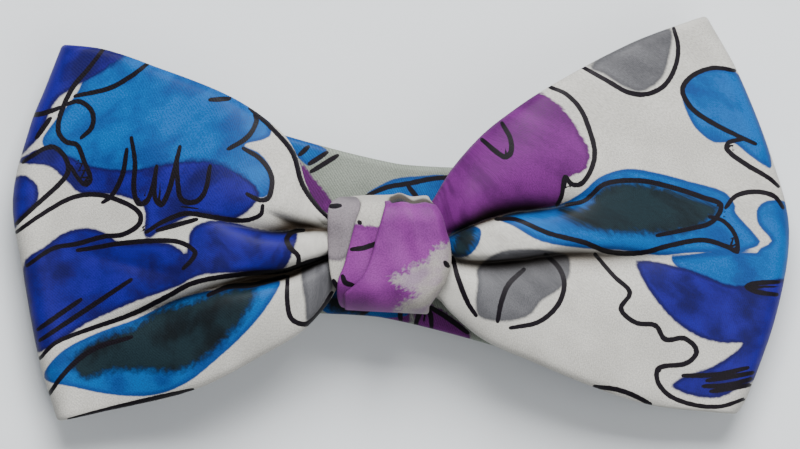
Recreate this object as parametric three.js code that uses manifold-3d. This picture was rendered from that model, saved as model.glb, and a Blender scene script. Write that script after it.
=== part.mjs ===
// A ready-tied bow tie that clips to the collar, lying on its back. Millimetres, +X to the wearer's left as
// seen from the front, +Y towards the chin, +Z out of the front. The origin is the bottom centre of its box.
import * as THREE from 'three';
import { mergeVertices } from 'three/addons/utils/BufferGeometryUtils.js';
import Module from 'manifold-3d';

const wasm = await Module();
wasm.setup();

// ---------- Driving dimensions ----------

const bowWidth = 120; // tip to tip of the front bow
const bowHeight = 63; // lowest corner to highest corner of the front bow
const clothThick = 0.35; // one ply of the printed cloth
const liningThick = 0.5; // the woven interlining that a band is folded round
const plyGap = 0.15; // air between the cloth and its interlining
const seamGap = 0.8; // the slit where the cloth's two long edges meet along a band
const runningGap = 0.3; // clearance between pieces that rest on each other

const knotX = -1.6; // centre of the knot, a little off the middle of the bow
const knotY = -5.3;
const knotFrontLeft = 9.2; // half widths of the knot's front, from its centre
const knotFrontRight = 9;
const knotSideLeft = 6.5; // half widths where the knot turns over the bow's waist
const knotSideRight = 5.4;
const knotThick = 0.8; // the knot strip is two plies pressed together
const knotPuff = 1.2; // how far the middle of the knot's front stands out

const waistHeight = 9.2; // the bow's bands where the knot gathers them
const knotMargin = 4.3; // from the gathered bands to the knot's outline, above and below
const loopGap = 0.3; // between the two layers of the loop at the waist
const foldRadius = 2.2; // the loop's turn at each end of the bow
const endLift = 4.2; // the loop's back layer above the table at its ends
const puffHeight = 2.2; // how far a wing swells beside the knot
const pleatDepth = 1; // the valleys that run out of the knot
const valleyWidth = 0.08; // as a share of the wing's height
const gatherDepth = 0.15; // the small waves under the knot

const rearWidth = 92; // the flat bow behind
const rearHeight = 38;
const rearWaist = 24;
const rearRise = 1.8; // the rear bow's middle above the knot's
const rearTurn = -8; // degrees about Z, as seen from the front

const threadRadius = 0.2;
const bindingRadius = 0.22;
const bindingTurns = 3;
const threadGap = 0.1;

const clipLength = 44;
const clipWidth = 9;
const clipPlate = 0.7; // thickness of the clip's sheet steel
const clipDepth = 6.3; // from the lever's pad to the back of the bow
const pivotX = 6; // hinge of the clip, from its middle
const pivotZ = 3.1;
const pinRadius = 0.8;
const pinFit = 0.1;
const earLength = 5;
const padLength = 13; // flat part of the lever that the finger presses
const clipSideGap = 0.15; // between the lever's ears and the base's ears
const jawTeeth = 4;
const toothDepth = 1.2;
const stitchHoleRadius = 0.7;
const stitchPitch = 4; // between the two holes of a pair
const stitchInset = 4; // from the end of the clip to its holes
const springWire = 0.25;
const springRadius = 1.35;
const springTurns = 3;
const springLeg = 8;

// ---------- Heights of the stack at the waist, from the table up ----------

const knotHeight = waistHeight + 2 * knotMargin;
const bandThick = liningThick + 2 * (plyGap + clothThick);
const threadSpace = 2 * (threadRadius + threadGap);
const rearZ = clipDepth + threadSpace + bandThick / 2;
const knotBackOuterZ = rearZ + bandThick / 2 + runningGap + knotThick / 2;
const knotBackInnerZ = knotBackOuterZ + knotThick + plyGap;
const bindingSpace = 2 * bindingRadius + 4 * threadGap;
const loopBackZ = knotBackInnerZ + knotThick / 2 + threadSpace + bindingSpace + bandThick / 2;
const loopFrontZ = loopBackZ + bandThick + loopGap + gatherDepth;
const liningTopZ = loopFrontZ + bandThick / 2 + gatherDepth + bindingSpace + liningThick / 2 + threadGap;
const knotFrontZ = liningTopZ + liningThick / 2 + plyGap + knotThick / 2;

// ---------- Materials ----------

const finish = (color, roughness, metalness = 0) => new THREE.MeshStandardMaterial({ color, roughness, metalness });
const printedCloth = finish('#5a64a8', 0.55);
const knotCloth = finish('#8a5f96', 0.55);
const interlining = finish('#e9e4d8', 0.95);
const sewingThread = finish('#2b2540', 0.7);
const nickel = finish('#c9cbd0', 0.28, 1);
const springSteel = finish('#9a9da3', 0.35, 1);

// ---------- Solids ----------

const bowTie = new THREE.Group();

function addMesh(name, geometry, material, group = bowTie) {
  const mesh = new THREE.Mesh(geometry, material);
  mesh.name = name;
  group.add(mesh);
  return mesh;
}

function mergedPositions(geometry) {
  const copy = geometry.clone();
  copy.deleteAttribute('normal');
  copy.deleteAttribute('uv');
  return mergeVertices(copy, 1e-4);
}

function toManifold(geometry) {
  const merged = mergedPositions(geometry);
  return new wasm.Manifold(new wasm.Mesh({
    numProp: 3,
    vertProperties: new Float32Array(merged.attributes.position.array),
    triVerts: new Uint32Array(merged.index.array),
  }));
}

function toGeometry(solid) {
  const mesh = solid.getMesh();
  const geometry = new THREE.BufferGeometry();
  geometry.setAttribute('position', new THREE.BufferAttribute(mesh.vertProperties, 3));
  geometry.setIndex(new THREE.BufferAttribute(mesh.triVerts, 1));
  return geometry;
}

function joined(...geometries) {
  return toGeometry(geometries.map(toManifold).reduce((whole, next) => whole.add(next)));
}

function cut(geometry, ...tools) {
  return toGeometry(tools.map(toManifold).reduce((whole, tool) => whole.subtract(tool), toManifold(geometry)));
}

// A cloth of real thickness: skin(u, v, side) gives a point of its upper (side +1) or lower (side -1) face.
// A column that is crossed has its quads split along their other diagonal.
function sheetGeometry(skin, uStations, vStations, crossed = () => false) {
  const columns = vStations.length;
  const positions = [];
  for (const side of [1, -1]) {
    for (const u of uStations) {
      for (const v of vStations) positions.push(...skin(u, v, side).toArray());
    }
  }
  const faceSize = uStations.length * columns;
  const upper = (i, j) => i * columns + j;
  const lower = (i, j) => faceSize + i * columns + j;
  const index = [];
  const quad = (a, b, c, d) => index.push(a, b, c, a, c, d);
  const facing = (j, a, b, c, d) => (crossed(j) ? quad(b, c, d, a) : quad(a, b, c, d));
  const lastU = uStations.length - 1;
  const lastV = columns - 1;
  for (let i = 0; i < lastU; i += 1) {
    for (let j = 0; j < lastV; j += 1) {
      facing(j, upper(i, j), upper(i + 1, j), upper(i + 1, j + 1), upper(i, j + 1));
      facing(j, lower(i, j), lower(i, j + 1), lower(i + 1, j + 1), lower(i + 1, j));
    }
    quad(upper(i, 0), lower(i, 0), lower(i + 1, 0), upper(i + 1, 0));
    quad(upper(i, lastV), upper(i + 1, lastV), lower(i + 1, lastV), lower(i, lastV));
  }
  for (let j = 0; j < lastV; j += 1) {
    quad(upper(0, j), upper(0, j + 1), lower(0, j + 1), lower(0, j));
    quad(upper(lastU, j), lower(lastU, j), lower(lastU, j + 1), upper(lastU, j + 1));
  }
  const geometry = new THREE.BufferGeometry();
  geometry.setAttribute('position', new THREE.Float32BufferAttribute(positions, 3));
  geometry.setIndex(index);
  return geometry;
}

function roundSection(radius, sides) {
  const section = new THREE.Shape();
  for (let i = 0; i < sides; i += 1) {
    const angle = (2 * Math.PI * i) / sides;
    const corner = [radius * Math.cos(angle), radius * Math.sin(angle)];
    if (i === 0) section.moveTo(...corner);
    else section.lineTo(...corner);
  }
  return section;
}

function wireGeometry(points, radius, steps, sides = 6) {
  const path = new THREE.CatmullRomCurve3(points, false, 'catmullrom', 0.35);
  const settings = { steps, bevelEnabled: false, extrudePath: path };
  return new THREE.ExtrudeGeometry(roundSection(radius, sides), settings);
}

// ---------- A folded band: cloth wrapped round an interlining, its slit along the middle of one side ----------

const clamp01 = (value) => Math.min(1, Math.max(0, value));
const smooth = (low, high, value) => THREE.MathUtils.smoothstep(value, low, high);
const evenly = (count) => Array.from({ length: count + 1 }, (_, i) => i / count);

// The band's middle surface, its normal, and the direction across it, at u along and v across.
function bandFrame(middle, u, v) {
  const step = 1e-3;
  const along = middle(Math.min(1, u + step), v).sub(middle(Math.max(0, u - step), v)).normalize();
  const across = middle(u, Math.min(1, v + step)).sub(middle(u, Math.max(0, v - step))).normalize();
  const normal = along.clone().cross(across).normalize();
  return { point: middle(u, v), normal, edge: normal.clone().cross(along).normalize() };
}

// Stations round the folded cloth: back lip, lower fold, front, upper fold, back lip.
function foldedStations(count) {
  const lattice = evenly(count);
  const half = count / 2;
  const arcs = [30, 90, 150].map(THREE.MathUtils.degToRad);
  const stations = [{ lip: -1 }];
  for (let i = half - 1; i > 0; i -= 1) stations.push({ v: lattice[i], angle: Math.PI });
  for (const angle of [Math.PI, ...arcs.toReversed(), 0]) stations.push({ v: 0, angle });
  for (let i = 1; i < count; i += 1) stations.push({ v: lattice[i], angle: 0 });
  for (const angle of [0, ...arcs, Math.PI]) stations.push({ v: 1, angle });
  for (let i = count - 1; i > half; i -= 1) stations.push({ v: lattice[i], angle: Math.PI });
  stations.push({ lip: 1 });
  return stations;
}

function foldedCloth(middle, uStations, count) {
  const middleRadius = liningThick / 2 + plyGap + clothThick / 2;
  const skin = (u, station, side) => {
    const height = middle(u, 1).distanceTo(middle(u, 0));
    const v = station.lip ? 0.5 + (station.lip * seamGap) / 2 / height : station.v;
    const angle = station.lip ? Math.PI : station.angle;
    const { point, normal, edge } = bandFrame(middle, u, v);
    const outward = edge.multiplyScalar(Math.sin(angle) * (v < 0.5 ? -1 : 1));
    const direction = normal.multiplyScalar(Math.cos(angle)).add(outward);
    return point.addScaledVector(direction, middleRadius + (side * clothThick) / 2);
  };
  const stations = foldedStations(count);
  const atBack = (station) => Boolean(station.lip) || station.angle === Math.PI;
  return sheetGeometry(skin, uStations, stations, (j) => atBack(stations[j]) && atBack(stations[j + 1]));
}

function bandLining(middle, uStations, count) {
  const skin = (u, v, side) => {
    const { point, normal } = bandFrame(middle, u, v);
    return point.addScaledVector(normal, (side * liningThick) / 2);
  };
  return sheetGeometry(skin, uStations, evenly(count));
}

// ---------- The front bow: one band sewn into a flat loop, gathered at the waist ----------

const halfWidth = bowWidth / 2;
const halfHeight = bowHeight / 2;
const edgeInset = bandThick / 2;
const tipInset = foldRadius + bandThick / 2;

// Each wing's edges leave the knot at along = 0 and reach the wing's corners at along = 1.
const wingAlong = [0, 0.06, 0.14, 0.24, 0.4, 0.7, 1];
const wings = {
  left: {
    way: -1,
    topStart: [-10.9, -0.6],
    bottomStart: [-10.2, -10.4],
    topCorner: [-0.871, 0.857],
    bottomCorner: [-0.883, -1],
    topRise: [0, 0.09, 0.38, 0.55, 0.715, 0.89, 1],
    bottomDrop: [0, 0.17, 0.34, 0.46, 0.64, 0.86, 1],
    bulgeAt: 0.6,
    valleys: [0.46, 0.68],
  },
  right: {
    way: 1,
    topStart: [5.4, 1.2],
    bottomStart: [6.1, -11.4],
    topCorner: [0.793, 1],
    bottomCorner: [0.873, -0.968],
    topRise: [0, 0.17, 0.33, 0.45, 0.6, 0.85, 1],
    bottomDrop: [0, 0.17, 0.36, 0.47, 0.63, 0.91, 1],
    bulgeAt: 0.46,
    valleys: [0.38, 0.53],
  },
};

function edgeCurve(wing, start, corner, rises) {
  const upwards = Math.sign(corner[1]);
  const end = [
    corner[0] * halfWidth - wing.way * tipInset,
    corner[1] * halfHeight - upwards * edgeInset,
  ];
  const waistEdge = knotY + (upwards * waistHeight) / 2;
  const points = [
    new THREE.Vector3(knotX, waistEdge, 0),
    new THREE.Vector3((knotX + start[0]) / 2, waistEdge + 0.2 * (start[1] - waistEdge), 0),
  ];
  wingAlong.forEach((along, i) => {
    const x = THREE.MathUtils.lerp(start[0], end[0], along);
    const y = THREE.MathUtils.lerp(start[1], end[1], rises[i]);
    points.push(new THREE.Vector3(x, y, 0));
  });
  return new THREE.CatmullRomCurve3(points, false, 'centripetal');
}

for (const wing of Object.values(wings)) {
  wing.top = edgeCurve(wing, wing.topStart, wing.topCorner, wing.topRise);
  wing.bottom = edgeCurve(wing, wing.bottomStart, wing.bottomCorner, wing.bottomDrop);
}

// Plan view of a wing: t runs from the waist to the tip, v from the lower edge to the upper one.
function wingPlan(wing, t, v) {
  const point = wing.bottom.getPoint(t).lerp(wing.top.getPoint(t), v);
  const tip = wing.bottom.getPoint(1).lerp(wing.top.getPoint(1), wing.bulgeAt);
  const bulge = wing.way * (halfWidth - tipInset) - tip.x;
  const reach = v < wing.bulgeAt ? wing.bulgeAt : 1 - wing.bulgeAt;
  point.x += bulge * t ** 3 * (1 - ((v - wing.bulgeAt) / reach) ** 2);
  return point;
}

const fromKnot = (x) => Math.abs(x - knotX);
const droop = (x, start, end, power) => clamp01((fromKnot(x) - start) / (end - start)) ** power;

function loopBackHeight(point) {
  return THREE.MathUtils.lerp(loopBackZ, endLift, droop(point.x, 10, halfWidth - tipInset, 1.5));
}

function loopFrontHeight(wing, point, t, v) {
  const end = smooth(0.75, 1, t);
  const base = THREE.MathUtils.lerp(loopFrontZ, loopBackHeight(point) + 2 * foldRadius, smooth(0.15, 1, t));
  const away = fromKnot(point.x);
  const swell = smooth(8, 17, away) * (1 - end);
  const folds = swell * (1 - smooth(16, 42, away));
  const valley = wing.valleys.reduce((sum, place) => sum + Math.exp(-(((v - place) / valleyWidth) ** 2)), 0);
  const gathers = gatherDepth * Math.cos(6 * Math.PI * v) * (1 - smooth(6, 12, away));
  return base + puffHeight * swell * Math.sin(Math.PI * v) - pleatDepth * folds * valley + gathers;
}

function onWing(wing, t, v, layer) {
  const point = wingPlan(wing, t, v);
  point.z = layer === 'front' ? loopFrontHeight(wing, point, t, v) : loopBackHeight(point);
  return point;
}

// The turn at a wing's tip joins the two layers by a half circle.
function onTip(wing, v, angle) {
  const point = onWing(wing, 1, v, 'back');
  point.x += wing.way * foldRadius * Math.sin(angle);
  point.z += foldRadius * (1 - Math.cos(angle));
  return point;
}

// Once round the loop: back of the left wing, its tip, the whole front, the right tip, back to the waist.
const butt = 0.006; // half the gap where the band's two ends meet behind the waist, as a share of a wing
const loopSpans = [
  { from: 0, to: 0.2, at: (s, v) => onWing(wings.left, butt + (1 - butt) * s, v, 'back') },
  { from: 0.2, to: 0.25, at: (s, v) => onTip(wings.left, v, Math.PI * s) },
  { from: 0.25, to: 0.5, at: (s, v) => onWing(wings.left, 1 - s, v, 'front') },
  { from: 0.5, to: 0.75, at: (s, v) => onWing(wings.right, s, v, 'front') },
  { from: 0.75, to: 0.8, at: (s, v) => onTip(wings.right, v, Math.PI * (1 - s)) },
  { from: 0.8, to: 1, at: (s, v) => onWing(wings.right, 1 - (1 - butt) * s, v, 'back') },
];

function frontBand(u, v) {
  const span = loopSpans.find((candidate) => u <= candidate.to);
  return span.at((u - span.from) / (span.to - span.from), v);
}

function loopStations() {
  const steps = [6, 3, 10, 10, 3, 6];
  const stations = [0];
  loopSpans.forEach((span, i) => {
    for (const s of evenly(steps[i]).slice(1)) stations.push(span.from + s * (span.to - span.from));
  });
  return stations;
}

// ---------- The rear bow: a flat butterfly of the same band, turned a little and drooping to the table ----------

function rearBand(u, v) {
  const along = 2 * u - 1;
  const halfSpan = THREE.MathUtils.lerp(rearWaist, rearHeight, Math.abs(along) ** 1.4) / 2;
  const local = new THREE.Vector3(along * (rearWidth / 2), (2 * v - 1) * (halfSpan - edgeInset), 0);
  local.applyAxisAngle(new THREE.Vector3(0, 0, 1), THREE.MathUtils.degToRad(rearTurn));
  local.add(new THREE.Vector3(knotX, knotY + rearRise, 0));
  local.z = THREE.MathUtils.lerp(rearZ, bandThick / 2, droop(local.x, clipLength / 2 + 1, rearWidth / 2, 1.3));
  return local;
}

// ---------- The knot: a strip wound round the waist, its ends lapped behind ----------

const knotTop = knotY + knotHeight / 2;
const knotBottom = knotY - knotHeight / 2;
const lapLength = 8;

// The strip's path round the waist, moved inwards by depth. Its parts are straights and two half circles.
function knotPath(depth) {
  const lowerTurn = (knotFrontZ - knotBackInnerZ) / 2;
  const upperTurn = (knotFrontZ - knotBackOuterZ) / 2;
  const lowerCentre = new THREE.Vector2(knotBottom + lowerTurn + knotThick / 2, knotFrontZ - lowerTurn);
  const upperCentre = new THREE.Vector2(knotTop - upperTurn - knotThick / 2, knotFrontZ - upperTurn);
  const lapStart = knotY + lapLength / 2;
  const lapEnd = knotY - lapLength / 2;
  const turn = (centre, radius, from, to) => (s) => {
    const angle = THREE.MathUtils.lerp(from, to, s);
    return [centre.x + (radius - depth) * Math.cos(angle), centre.y + (radius - depth) * Math.sin(angle)];
  };
  const straight = (yFrom, yTo, z) => (s) => [THREE.MathUtils.lerp(yFrom, yTo, s), z];
  return [
    { steps: 3, at: straight(lapStart, lowerCentre.x, knotBackInnerZ + depth) },
    { steps: 6, at: turn(lowerCentre, lowerTurn, 1.5 * Math.PI, 0.5 * Math.PI) },
    { steps: 6, at: straight(lowerCentre.x, upperCentre.x, knotFrontZ - depth) },
    { steps: 6, at: turn(upperCentre, upperTurn, 0.5 * Math.PI, -0.5 * Math.PI) },
    { steps: 3, at: straight(upperCentre.x, lapEnd, knotBackOuterZ + depth) },
  ];
}

// Half width and swell of the knot, by how far a point of its path is to the front.
function knotPoint(pathPoint, v, narrower = 0) {
  const [y, z] = pathPoint;
  const front = smooth(knotBackInnerZ, knotFrontZ, z) * Math.sin(Math.PI * clamp01((y - knotBottom) / knotHeight));
  const left = THREE.MathUtils.lerp(knotSideLeft, knotFrontLeft, front) - narrower;
  const right = THREE.MathUtils.lerp(knotSideRight, knotFrontRight, front) - narrower;
  const x = knotX + THREE.MathUtils.lerp(right, -left, v);
  return new THREE.Vector3(x, y, z + knotPuff * front * (1 - (2 * v - 1) ** 2));
}

// A sheet along some of the path's spans, given by number.
function knotSheet(spans, depth, thick, columns, narrower) {
  const stations = [{ span: spans[0], s: 0 }];
  for (const span of spans) {
    for (const s of evenly(knotPath(0)[span].steps).slice(1)) stations.push({ span, s });
  }
  const skin = ({ span, s }, v, side) => {
    const shifted = knotPath(depth - (side * thick) / 2)[span];
    return knotPoint(shifted.at(s), v, narrower);
  };
  return sheetGeometry(skin, stations, evenly(columns));
}

// ---------- Threads ----------

// Turns of thread round the gathered waist, side by side along X.
function waistBinding() {
  const reach = (loopFrontZ - loopBackZ) / 2 + bandThick / 2 + gatherDepth + 2 * threadGap + bindingRadius;
  const middleZ = (loopFrontZ + loopBackZ) / 2;
  const straight = waistHeight / 2;
  const pitch = 3 * bindingRadius;
  const perTurn = 16;
  const points = [];
  for (let i = 0; i <= bindingTurns * perTurn; i += 1) {
    const angle = (2 * Math.PI * i) / perTurn;
    const x = knotX + pitch * (i / perTurn - bindingTurns / 2);
    const side = THREE.MathUtils.clamp(2.5 * Math.cos(angle), -1, 1);
    const y = knotY + reach * Math.cos(angle) + straight * side;
    points.push(new THREE.Vector3(x, y, middleZ + reach * Math.sin(angle)));
  }
  return wireGeometry(points, bindingRadius, bindingTurns * 20);
}

// A running stitch along Y, waving through everything between two heights.
function runningStitch(x, y, length, stitches, low, high, radius) {
  const count = 8 * stitches;
  const points = evenly(count).map((share) => {
    const wave = Math.cos(Math.PI * stitches * share);
    return new THREE.Vector3(x, y + (share - 0.5) * length, (low + high) / 2 - (wave * (high - low)) / 2);
  });
  return wireGeometry(points, radius, count);
}

// A loop of thread through a pair of holes, its ends meeting on the hidden side.
function barTack(x, y, width, low, high, radius) {
  const half = width / 2;
  const end = 0.4;
  const corners = [
    [end, high], [half - end, high], [half, high - end], [half, low + end], [half - end, low],
    [-half + end, low], [-half, low + end], [-half, high - end], [-half + end, high], [-end, high],
  ];
  return wireGeometry(corners.map(([dy, z]) => new THREE.Vector3(x, y + dy, z)), radius, 30);
}

// ---------- The clip ----------

function plateGeometry(outline, depth) {
  return new THREE.ExtrudeGeometry(outline, { depth, bevelEnabled: false });
}

function rectangle(x0, y0, x1, y1) {
  return new THREE.Shape([[x0, y0], [x1, y0], [x1, y1], [x0, y1]].map(([x, y]) => new THREE.Vector2(x, y)));
}

// A plate drawn in XZ and given its width along Y.
function sidePlate(points, width, y) {
  const shape = new THREE.Shape(points.map(([x, z]) => new THREE.Vector2(x, z)));
  return plateGeometry(shape, width).rotateX(Math.PI / 2).translate(0, y + width / 2, 0);
}

function pinHole(radius) {
  return new THREE.CylinderGeometry(radius, radius, 2 * clipWidth, 24).translate(pivotX, 0, pivotZ);
}

function earOutline(bottom, top) {
  const half = earLength / 2;
  const bevel = earLength / 4;
  const far = Math.abs(top - pivotZ) > Math.abs(bottom - pivotZ) ? bottom : top;
  const near = far === top ? bottom : top;
  const slant = far > near ? -bevel : bevel;
  return [
    [pivotX - half, near], [pivotX + half, near], [pivotX + half, far + slant],
    [pivotX + half - bevel, far], [pivotX - half + bevel, far], [pivotX - half, far + slant],
  ];
}

// Wedges that leave a row of teeth across a jaw's tip.
function toothCutters(width) {
  const pitch = width / jawTeeth;
  const tip = -clipLength / 2;
  return evenly(jawTeeth).map((share) => {
    const y = (share - 0.5) * width;
    const notch = new THREE.Shape([
      new THREE.Vector2(tip - 1, y - pitch / 2),
      new THREE.Vector2(tip + toothDepth, y),
      new THREE.Vector2(tip - 1, y + pitch / 2),
    ]);
    return plateGeometry(notch, clipDepth + 2).translate(0, 0, -1);
  });
}

function stitchHoles() {
  const holes = [];
  for (const x of [-clipLength / 2 + stitchInset, clipLength / 2 - stitchInset]) {
    for (const y of [-stitchPitch / 2, stitchPitch / 2]) {
      const hole = new THREE.CylinderGeometry(stitchHoleRadius, stitchHoleRadius, 4 * clipPlate, 16);
      holes.push(hole.rotateX(Math.PI / 2).translate(x, y, clipDepth - clipPlate / 2));
    }
  }
  return holes;
}

function clipBase() {
  const underside = clipDepth - clipPlate;
  const half = clipLength / 2;
  const plate = plateGeometry(rectangle(-half, -clipWidth / 2, half, clipWidth / 2), clipPlate);
  const ear = earOutline(pivotZ - 1.5, underside + clipPlate / 2);
  const earY = (clipWidth - clipPlate) / 2;
  const ears = [-1, 1].map((side) => sidePlate(ear, clipPlate, side * earY));
  const body = joined(plate.translate(0, 0, underside), ...ears);
  return cut(body, pinHole(pinRadius + pinFit / 2), ...stitchHoles(), ...toothCutters(clipWidth));
}

function clipLever() {
  const width = clipWidth - 2 * (clipPlate + clipSideGap);
  const half = clipLength / 2;
  const bend = half - padLength;
  const tipLow = clipDepth - 2 * clipPlate - runningGap;
  const profile = [
    [half, 0], [half, clipPlate], [bend, clipPlate], [-half, tipLow + clipPlate], [-half, tipLow], [bend, 0],
  ];
  const plateAtPivot = clipPlate / 2 + (tipLow * (bend - pivotX)) / (bend + half);
  const ear = earOutline(plateAtPivot, pivotZ + 1.4);
  const earY = (width - clipPlate) / 2;
  const ears = [-1, 1].map((side) => sidePlate(ear, clipPlate, side * earY));
  const body = joined(sidePlate(profile, width, 0), ...ears);
  return cut(body, pinHole(pinRadius + pinFit), ...toothCutters(width));
}

function clipPin() {
  const headRadius = 1.3 * pinRadius;
  const headDepth = 0.5;
  const half = clipWidth / 2;
  const profile = [
    [0, -half - headDepth], [headRadius, -half - headDepth / 2], [headRadius, -half - threadGap],
    [pinRadius, -half - threadGap], [pinRadius, half + threadGap], [headRadius, half + threadGap],
    [headRadius, half + headDepth / 2], [0, half + headDepth],
  ];
  const points = profile.map(([r, y]) => new THREE.Vector2(r, y));
  return new THREE.LatheGeometry(points, 24).translate(pivotX, 0, pivotZ);
}

// Coils round the pin; one leg bears on the base and one on the lever's pad.
function clipSpring() {
  const width = springTurns * 3 * springWire;
  const perTurn = 16;
  const turns = springTurns + 0.5;
  const upperEnd = clipDepth - clipPlate - springWire - threadGap;
  const lowerEnd = clipPlate + springWire + threadGap;
  const points = [new THREE.Vector3(pivotX + springLeg, -width / 2, upperEnd)];
  for (let i = 0; i <= turns * perTurn; i += 1) {
    const angle = Math.PI / 2 + (2 * Math.PI * i) / perTurn;
    const y = -width / 2 + (width * i) / (turns * perTurn);
    points.push(new THREE.Vector3(
      pivotX + springRadius * Math.cos(angle), y, pivotZ + springRadius * Math.sin(angle),
    ));
  }
  points.push(new THREE.Vector3(pivotX + springLeg, width / 2, lowerEnd));
  return wireGeometry(points, springWire, 64);
}

// ---------- Assembly ----------

const stitchLow = clipDepth + threadGap + threadRadius;
const stitchHigh = knotBackInnerZ + knotThick / 2 + threadGap + threadRadius;
const closingStitch = (radius) => runningStitch(knotX + 2, knotY, lapLength - 1, 5, stitchLow, stitchHigh, radius);
const tackLow = clipDepth - clipPlate - threadGap - threadRadius;
const tackHigh = rearZ + bandThick / 2 + threadGap + threadRadius;
const tackReach = clipLength / 2 - stitchInset;
const jawTack = (radius) => barTack(knotX - tackReach, knotY, stitchPitch, tackLow, tackHigh, radius);
const leverTack = (radius) => barTack(knotX + tackReach, knotY, stitchPitch, tackLow, tackHigh, radius);
const fatThread = threadRadius + threadGap;

const loopU = loopStations();
const bandColumns = 8;
addMesh('front_bow', foldedCloth(frontBand, loopU, bandColumns), printedCloth);
addMesh('front_bow_interlining', bandLining(frontBand, loopU, bandColumns), interlining);

const rearU = evenly(16);
const rearColumns = 6;
const throughRear = [closingStitch(fatThread), jawTack(fatThread), leverTack(fatThread)];
addMesh('rear_bow', cut(foldedCloth(rearBand, rearU, rearColumns), ...throughRear), printedCloth);
addMesh('rear_bow_interlining', cut(bandLining(rearBand, rearU, rearColumns), ...throughRear), interlining);

const liningDepth = knotThick / 2 + plyGap + liningThick / 2;
const knotStrip = knotSheet([0, 1, 2, 3, 4], 0, knotThick, 8, 0);
addMesh('knot_wrap', cut(knotStrip, closingStitch(fatThread)), knotCloth);
addMesh('knot_interlining', knotSheet([1, 2, 3], liningDepth, liningThick, 6, 1.5), interlining);

addMesh('waist_binding_thread', waistBinding(), sewingThread);
addMesh('knot_closing_stitch', closingStitch(threadRadius), sewingThread);
addMesh('clip_stitch_jaw_end', jawTack(threadRadius), sewingThread);
addMesh('clip_stitch_lever_end', leverTack(threadRadius), sewingThread);

const clip = new THREE.Group();
clip.position.set(knotX, knotY, 0);
bowTie.add(clip);
addMesh('clip_base', clipBase(), nickel, clip);
addMesh('clip_lever', clipLever(), nickel, clip);
addMesh('clip_pin', clipPin(), springSteel, clip);
addMesh('clip_spring', clipSpring(), springSteel, clip);

// The bow's box is centred on the origin and stands on it.
const box = new THREE.Box3().setFromObject(bowTie);
const centre = box.getCenter(new THREE.Vector3());
bowTie.position.set(-centre.x, -centre.y, -box.min.z);
bowTie.updateMatrixWorld(true);

export default bowTie;
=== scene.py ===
# %% [markdown]
# # A ready-tied bow tie
#
# The tie lies on its back on a pale table: a gathered front bow, a flat bow behind it, a wrapped knot, and
# a steel clip sewn behind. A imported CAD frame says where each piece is. This script dresses that frame:
# every cloth piece is built again with its real folds, and then printed with painted flowers.

import math

import bpy
import numpy as np
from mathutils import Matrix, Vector


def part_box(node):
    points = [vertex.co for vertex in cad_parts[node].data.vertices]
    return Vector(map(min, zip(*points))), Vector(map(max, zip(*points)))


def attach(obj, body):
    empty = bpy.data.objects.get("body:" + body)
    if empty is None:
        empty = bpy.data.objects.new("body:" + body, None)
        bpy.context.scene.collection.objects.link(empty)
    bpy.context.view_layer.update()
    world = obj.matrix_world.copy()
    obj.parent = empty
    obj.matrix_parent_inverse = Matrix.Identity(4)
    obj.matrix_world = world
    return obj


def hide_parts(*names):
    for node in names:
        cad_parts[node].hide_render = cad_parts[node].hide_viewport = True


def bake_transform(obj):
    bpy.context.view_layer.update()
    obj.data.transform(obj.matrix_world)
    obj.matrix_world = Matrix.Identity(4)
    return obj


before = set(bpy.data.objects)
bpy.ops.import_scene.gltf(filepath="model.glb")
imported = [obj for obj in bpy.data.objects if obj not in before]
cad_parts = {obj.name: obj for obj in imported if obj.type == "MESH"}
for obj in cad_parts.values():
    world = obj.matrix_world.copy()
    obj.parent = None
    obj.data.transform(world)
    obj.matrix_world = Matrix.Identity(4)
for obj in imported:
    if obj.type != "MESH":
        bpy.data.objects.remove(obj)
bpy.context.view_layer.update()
MM = 0.001

# %% [markdown]
# ## Sizes
#
# Everything is placed from the boxes of the CAD nodes. The drawing below is done in millimetres, because
# cloth and folds are measured in millimetres, and turned into metres only when a mesh is made.


# %% Measure the frame
def node_box(node):
    low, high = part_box(node)
    return np.array(low) / MM, np.array(high) / MM


front_low, _ = node_box("front_bow")
rear_low, rear_high = node_box("rear_bow")
wrap_low, wrap_high = node_box("knot_wrap")
binding_low, binding_high = node_box("waist_binding_thread")
clip_low, clip_high = node_box("clip_base")

cloth_thick = 0.35
lining_thick = 0.5
skin_radius = 0.75  # from the middle of a folded band to its outside
waist_height = 9.2
layer_gap = 1.95  # between the front bow's two layers at the waist
fold_radius = 2.2  # of the turn at the end of each wing
knot_x = (clip_low[0] + clip_high[0]) / 2
knot_y = (wrap_low[1] + wrap_high[1]) / 2
loop_back_z = (binding_low[2] + binding_high[2]) / 2 - layer_gap / 2
loop_front_z = loop_back_z + layer_gap
end_lift = front_low[2] + skin_radius  # height of the back layer at the wings' ends
print("knot centre", round(knot_x, 2), round(knot_y, 2))
print("loop layers at", round(loop_back_z, 2), "and", round(loop_front_z, 2))
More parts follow.
